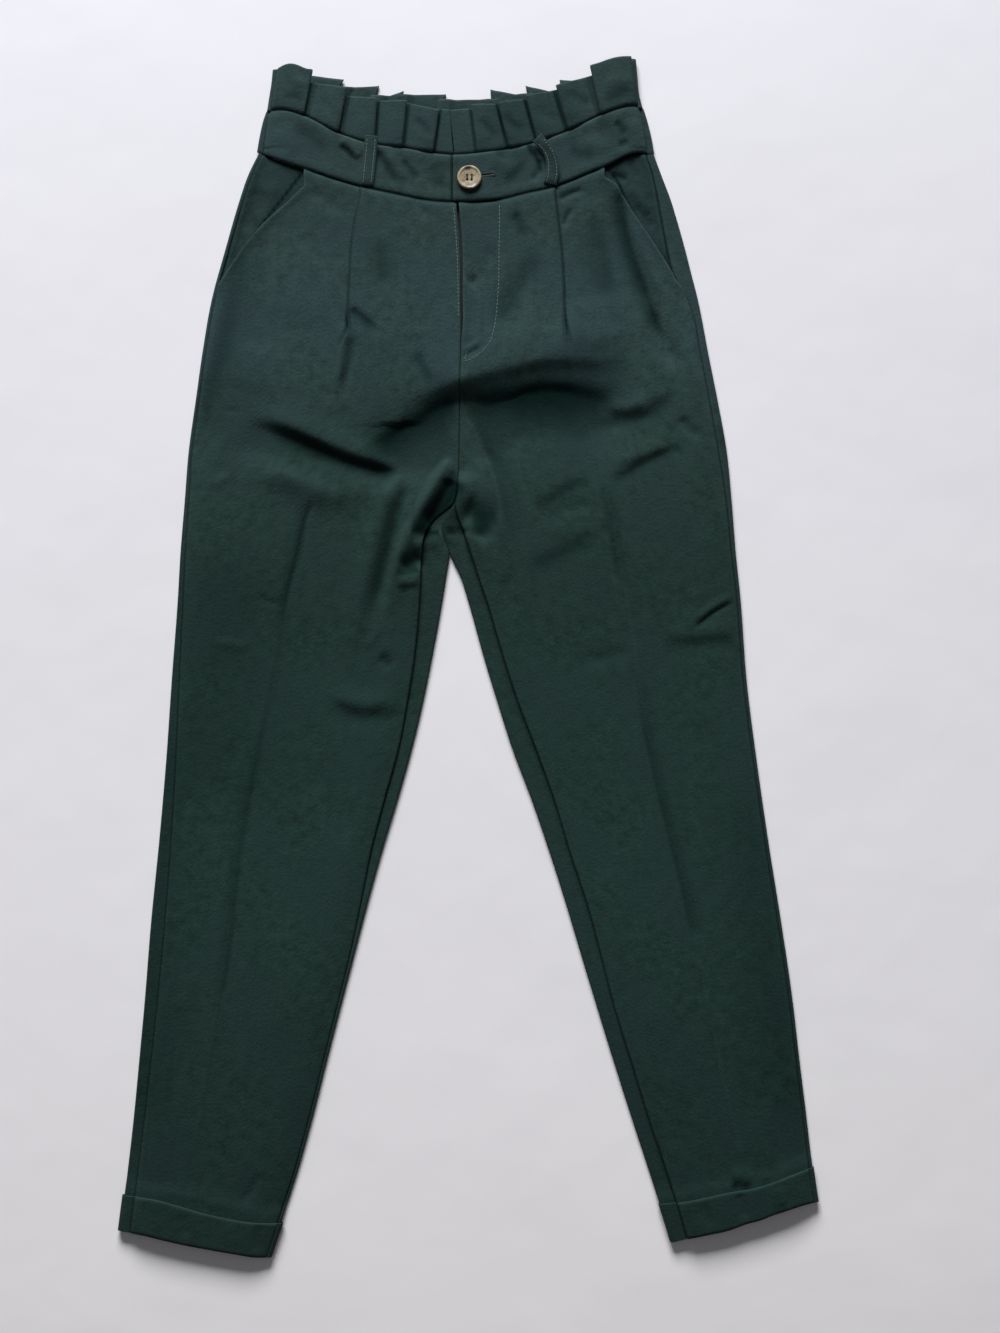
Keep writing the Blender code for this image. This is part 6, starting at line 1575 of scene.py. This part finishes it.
def button():
    r = BUTTON_D / 2
    bx, by = BUTTON_AT
    base = float(height_at("waistband_front_left", bx - 6.0, by, 2.5)[0]) + 0.62
    profile = [(0.0, 0.1), (r * 0.30, 0.1), (r * 0.66, 0.12), (r * 0.86, 0.35), (r * 0.965, 0.95), (r, 1.6),
               (r * 0.997, 2.2), (r * 0.975, 2.75), (r * 0.935, 3.15), (r * 0.885, 3.32), (r * 0.83, 3.22),
               (r * 0.78, 2.98), (r * 0.74, 2.72), (r * 0.68, 2.56), (r * 0.58, 2.46), (r * 0.46, 2.38),
               (r * 0.36, 2.22), (r * 0.30, 2.08), (r * 0.15, 2.02), (0.0, 2.0)]
    sides = 96
    bm = bmesh.new()
    rings = []
    for px, pz in profile:
        if px == 0:
            rings.append([bm.verts.new((0, 0, pz))])
        else:
            rings.append([bm.verts.new((px * math.cos(a), px * math.sin(a), pz))
                          for a in (2 * math.pi * k / sides for k in range(sides))])
    for a, b in zip(rings, rings[1:]):
        for k in range(sides):
            n = (k + 1) % sides
            if len(a) == 1:
                bm.faces.new((a[0], b[n], b[k]))
            elif len(b) == 1:
                bm.faces.new((a[k], a[n], b[0]))
            else:
                bm.faces.new((a[k], a[n], b[n], b[k]))
    bmesh.ops.recalc_face_normals(bm, faces=bm.faces)
    mesh = bpy.data.meshes.new("button_blank")
    bm.to_mesh(mesh)
    bm.free()
    blank = bpy.data.objects.new("button_blank", mesh)
    bpy.context.scene.collection.objects.link(blank)
    cutters = []
    for dx, dy in ((-1, -1), (1, -1), (1, 1), (-1, 1)):
        bpy.ops.mesh.primitive_cylinder_add(vertices=32, radius=1.05, depth=9, location=(1.95 * dx, 1.95 * dy, 1.5))
        hole = bpy.context.active_object
        cutters.append(hole)
        cut = blank.modifiers.new("hole", "BOOLEAN")
        cut.operation, cut.object = "DIFFERENCE", hole
    bpy.context.view_layer.update()
    done = bpy.data.meshes.new_from_object(blank.evaluated_get(bpy.context.evaluated_depsgraph_get()))
    for extra in cutters + [blank]:
        bpy.data.objects.remove(extra, do_unlink=True)
    co = np.zeros(len(done.vertices) * 3, np.float32)
    done.vertices.foreach_get("co", co)
    co = co.reshape(-1, 3)
    turned = done.attributes.new("turned", "FLOAT_VECTOR", "POINT")
    turned.data.foreach_set("vector", co.ravel())
    tilt = 0.02
    placed = co.copy()
    placed[:, 2] += base - tilt * co[:, 0]
    placed[:, 0] += bx + SHIFT[0]
    placed[:, 1] += by + SHIFT[1]
    done.vertices.foreach_set("co", (placed * MM).astype(np.float32).ravel())
    done.materials.clear()
    done.materials.append(HORN)
    done.shade_smooth()
    done.set_sharp_from_angle(angle=math.radians(50))
    done.name = "button"
    obj = bpy.data.objects.new("button_turned", done)
    bpy.context.scene.collection.objects.link(obj)
    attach(obj, "root")
    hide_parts("button")
    sewn = ([], [])
    for dx in (-1.95, 1.95):
        for off in (-0.32, 0.0, 0.32):
            x = bx + dx + off
            stitch([(x, by - 2.5, base + 1.2), (x, by - 1.6, base + 2.75), (x, by + 1.6, base + 2.75), (x, by + 2.5, base + 1.2)],
                   6.4, 0.05, 0.5, 0.0, sewn)
    for a in np.linspace(0, 2 * math.pi, 12, endpoint=False):
        stitch([(bx + 1.5 * math.cos(a), by + 1.5 * math.sin(a), base - 0.9), (bx + 1.5 * math.cos(a), by + 1.5 * math.sin(a), base + 0.6)],
               1.4, 0.1, 0.8, 0.0, sewn)
    thread_piece("stitches_button", sewn, THREAD_BLACK)


def fly_pieces():
    rows = []
    for v in np.linspace(0, 1, 60):
        y = 386.0 - v * 126.0
        xs = np.linspace(-27.0 + 3 * v, 9.0 - 5 * v, 22)
        zs = 4.1 + 0.12 * np.sin(y / 9.0) + 0.1 * np.sin(xs / 4.0)
        rows.append(np.c_[xs, np.full(22, y), zs])
    points = np.array(rows)
    cloth_piece("fly_shield", points, WALL, TWILL_BACK,
                np.stack([points[..., 0] + 2800, points[..., 1]], axis=2))
    rows = []
    for v in np.linspace(0, 1, 122):
        y = 384.0 - v * 122.0
        xs = np.array([-11.5, -9.0, -6.5, -4.2, -3.3, -2.6, -1.6, -0.5, 0.6, 1.6, 2.5, 3.2, 4.2, 6.5, 9.0, 13.5])
        tooth = 0.5 + 0.5 * math.sin(v * 122.0 * 2 * math.pi / 2.4)
        mid = np.abs(xs + 0.0)
        zs = 5.25 + 0.5 * bell(mid, 2.6) + 0.22 * tooth * bell(mid, 2.0)
        rows.append(np.c_[xs, np.full(len(xs), y), zs])
    points = np.array(rows)
    cloth_piece("fly_zip", points, 0.6, TAPE)


for side in ("right", "left"):
    front_panel(side)
    back_panel(side)
    pocket_bag(side)
    band_front(side)
    frill_front(side)
    turnup(side, True)
    turnup(side, False)
    belt_loop(side)
band_back()
frill_back()
fly_pieces()
stitches()
button()

# ---------------------------------------------------------------------- stage
floor_mat, tree, shader = shade("pale_floor")
place = tree.nodes.new("ShaderNodeTexCoord")
cut = tree.nodes.new("ShaderNodeSeparateXYZ")
link(tree, place, "Object", cut, 0)
# Painted counter-shade: the floor's colour is graded from paler at the bottom to darker at the top, where the window
# lamp is nearest, to even out the lamp's falloff.
floor_counter_shade = tree.nodes.new("ShaderNodeMapRange")
floor_counter_shade.interpolation_type = "SMOOTHSTEP"
floor_counter_shade.inputs[1].default_value, floor_counter_shade.inputs[2].default_value = -0.62, 0.60
link(tree, cut, "Y", floor_counter_shade, 0)
tone = tree.nodes.new("ShaderNodeMix")
tone.data_type = "RGBA"
link(tree, floor_counter_shade, 0, tone, 0)
tone.inputs[6].default_value = (0.90, 0.87, 0.885, 1)
tone.inputs[7].default_value = (0.660, 0.647, 0.684, 1)
tree.links.new(tone.outputs[2], shader.inputs["Base Color"])
shader.inputs["Roughness"].default_value = 0.95
shader.inputs["Specular IOR Level"].default_value = 0.1
waves = tree.nodes.new("ShaderNodeTexNoise")
waves.inputs["Scale"].default_value = 5.0
waves.inputs["Detail"].default_value = 3.0
link(tree, place, "Object", waves, "Vector")
relief = tree.nodes.new("ShaderNodeBump")
relief.inputs["Strength"].default_value = 0.12
relief.inputs["Distance"].default_value = 0.02
link(tree, waves, "Fac", relief, "Height")
link(tree, relief, "Normal", shader, "Normal")
size = 4.0
floor = mesh_object("floor", np.array([(-size, -size, -0.0003), (size, -size, -0.0003), (size, size, -0.0003), (-size, size, -0.0003)]),
                    [(0, 1, 2, 3)], floor_mat)


def area(name, place, aim, width, depth, power, colour):
    lamp = bpy.data.lights.new(name, "AREA")
    lamp.shape = "RECTANGLE"
    lamp.size, lamp.size_y = width, depth
    lamp.energy = power
    lamp.color = colour
    obj = bpy.data.objects.new(name, lamp)
    obj.location = place
    way = np.array(aim) - np.array(place)
    from mathutils import Vector
    obj.rotation_mode = "QUATERNION"
    obj.rotation_quaternion = Vector(way).to_track_quat("-Z", "Y")
    bpy.context.scene.collection.objects.link(obj)
    return obj


area("window", (-0.42, 3.3, 1.62), (0.0, 0.0, 0.0), 2.0, 1.3, 276.0, (0.97, 0.985, 1.0))
area("ceiling", (0.3, 0.1, 2.6), (0.0, 0.0, 0.0), 1.6, 1.6, 3.0, (1.0, 0.985, 0.97))

world = bpy.data.worlds.new("room")
world.use_nodes = True
world.node_tree.nodes["Background"].inputs["Color"].default_value = (0.93, 0.95, 1.0, 1)
world.node_tree.nodes["Background"].inputs["Strength"].default_value = 0.085
bpy.context.scene.world = world

camera = bpy.data.cameras.new("camera")
camera.sensor_width = 36.0
camera.lens = 54.0
camera.clip_start, camera.clip_end = 0.05, 20.0
cam = bpy.data.objects.new("camera", camera)
cam.location = (0.02704, -0.00752, 1.7075)
cam.rotation_euler = (0.0, 0.0, 0.0)
bpy.context.scene.collection.objects.link(cam)
bpy.context.scene.camera = cam

view_settings = bpy.context.scene.view_settings
view_settings.view_transform = "Standard"
view_settings.look = "None"
view_settings.exposure = 0.0
view_settings.gamma = 1.0
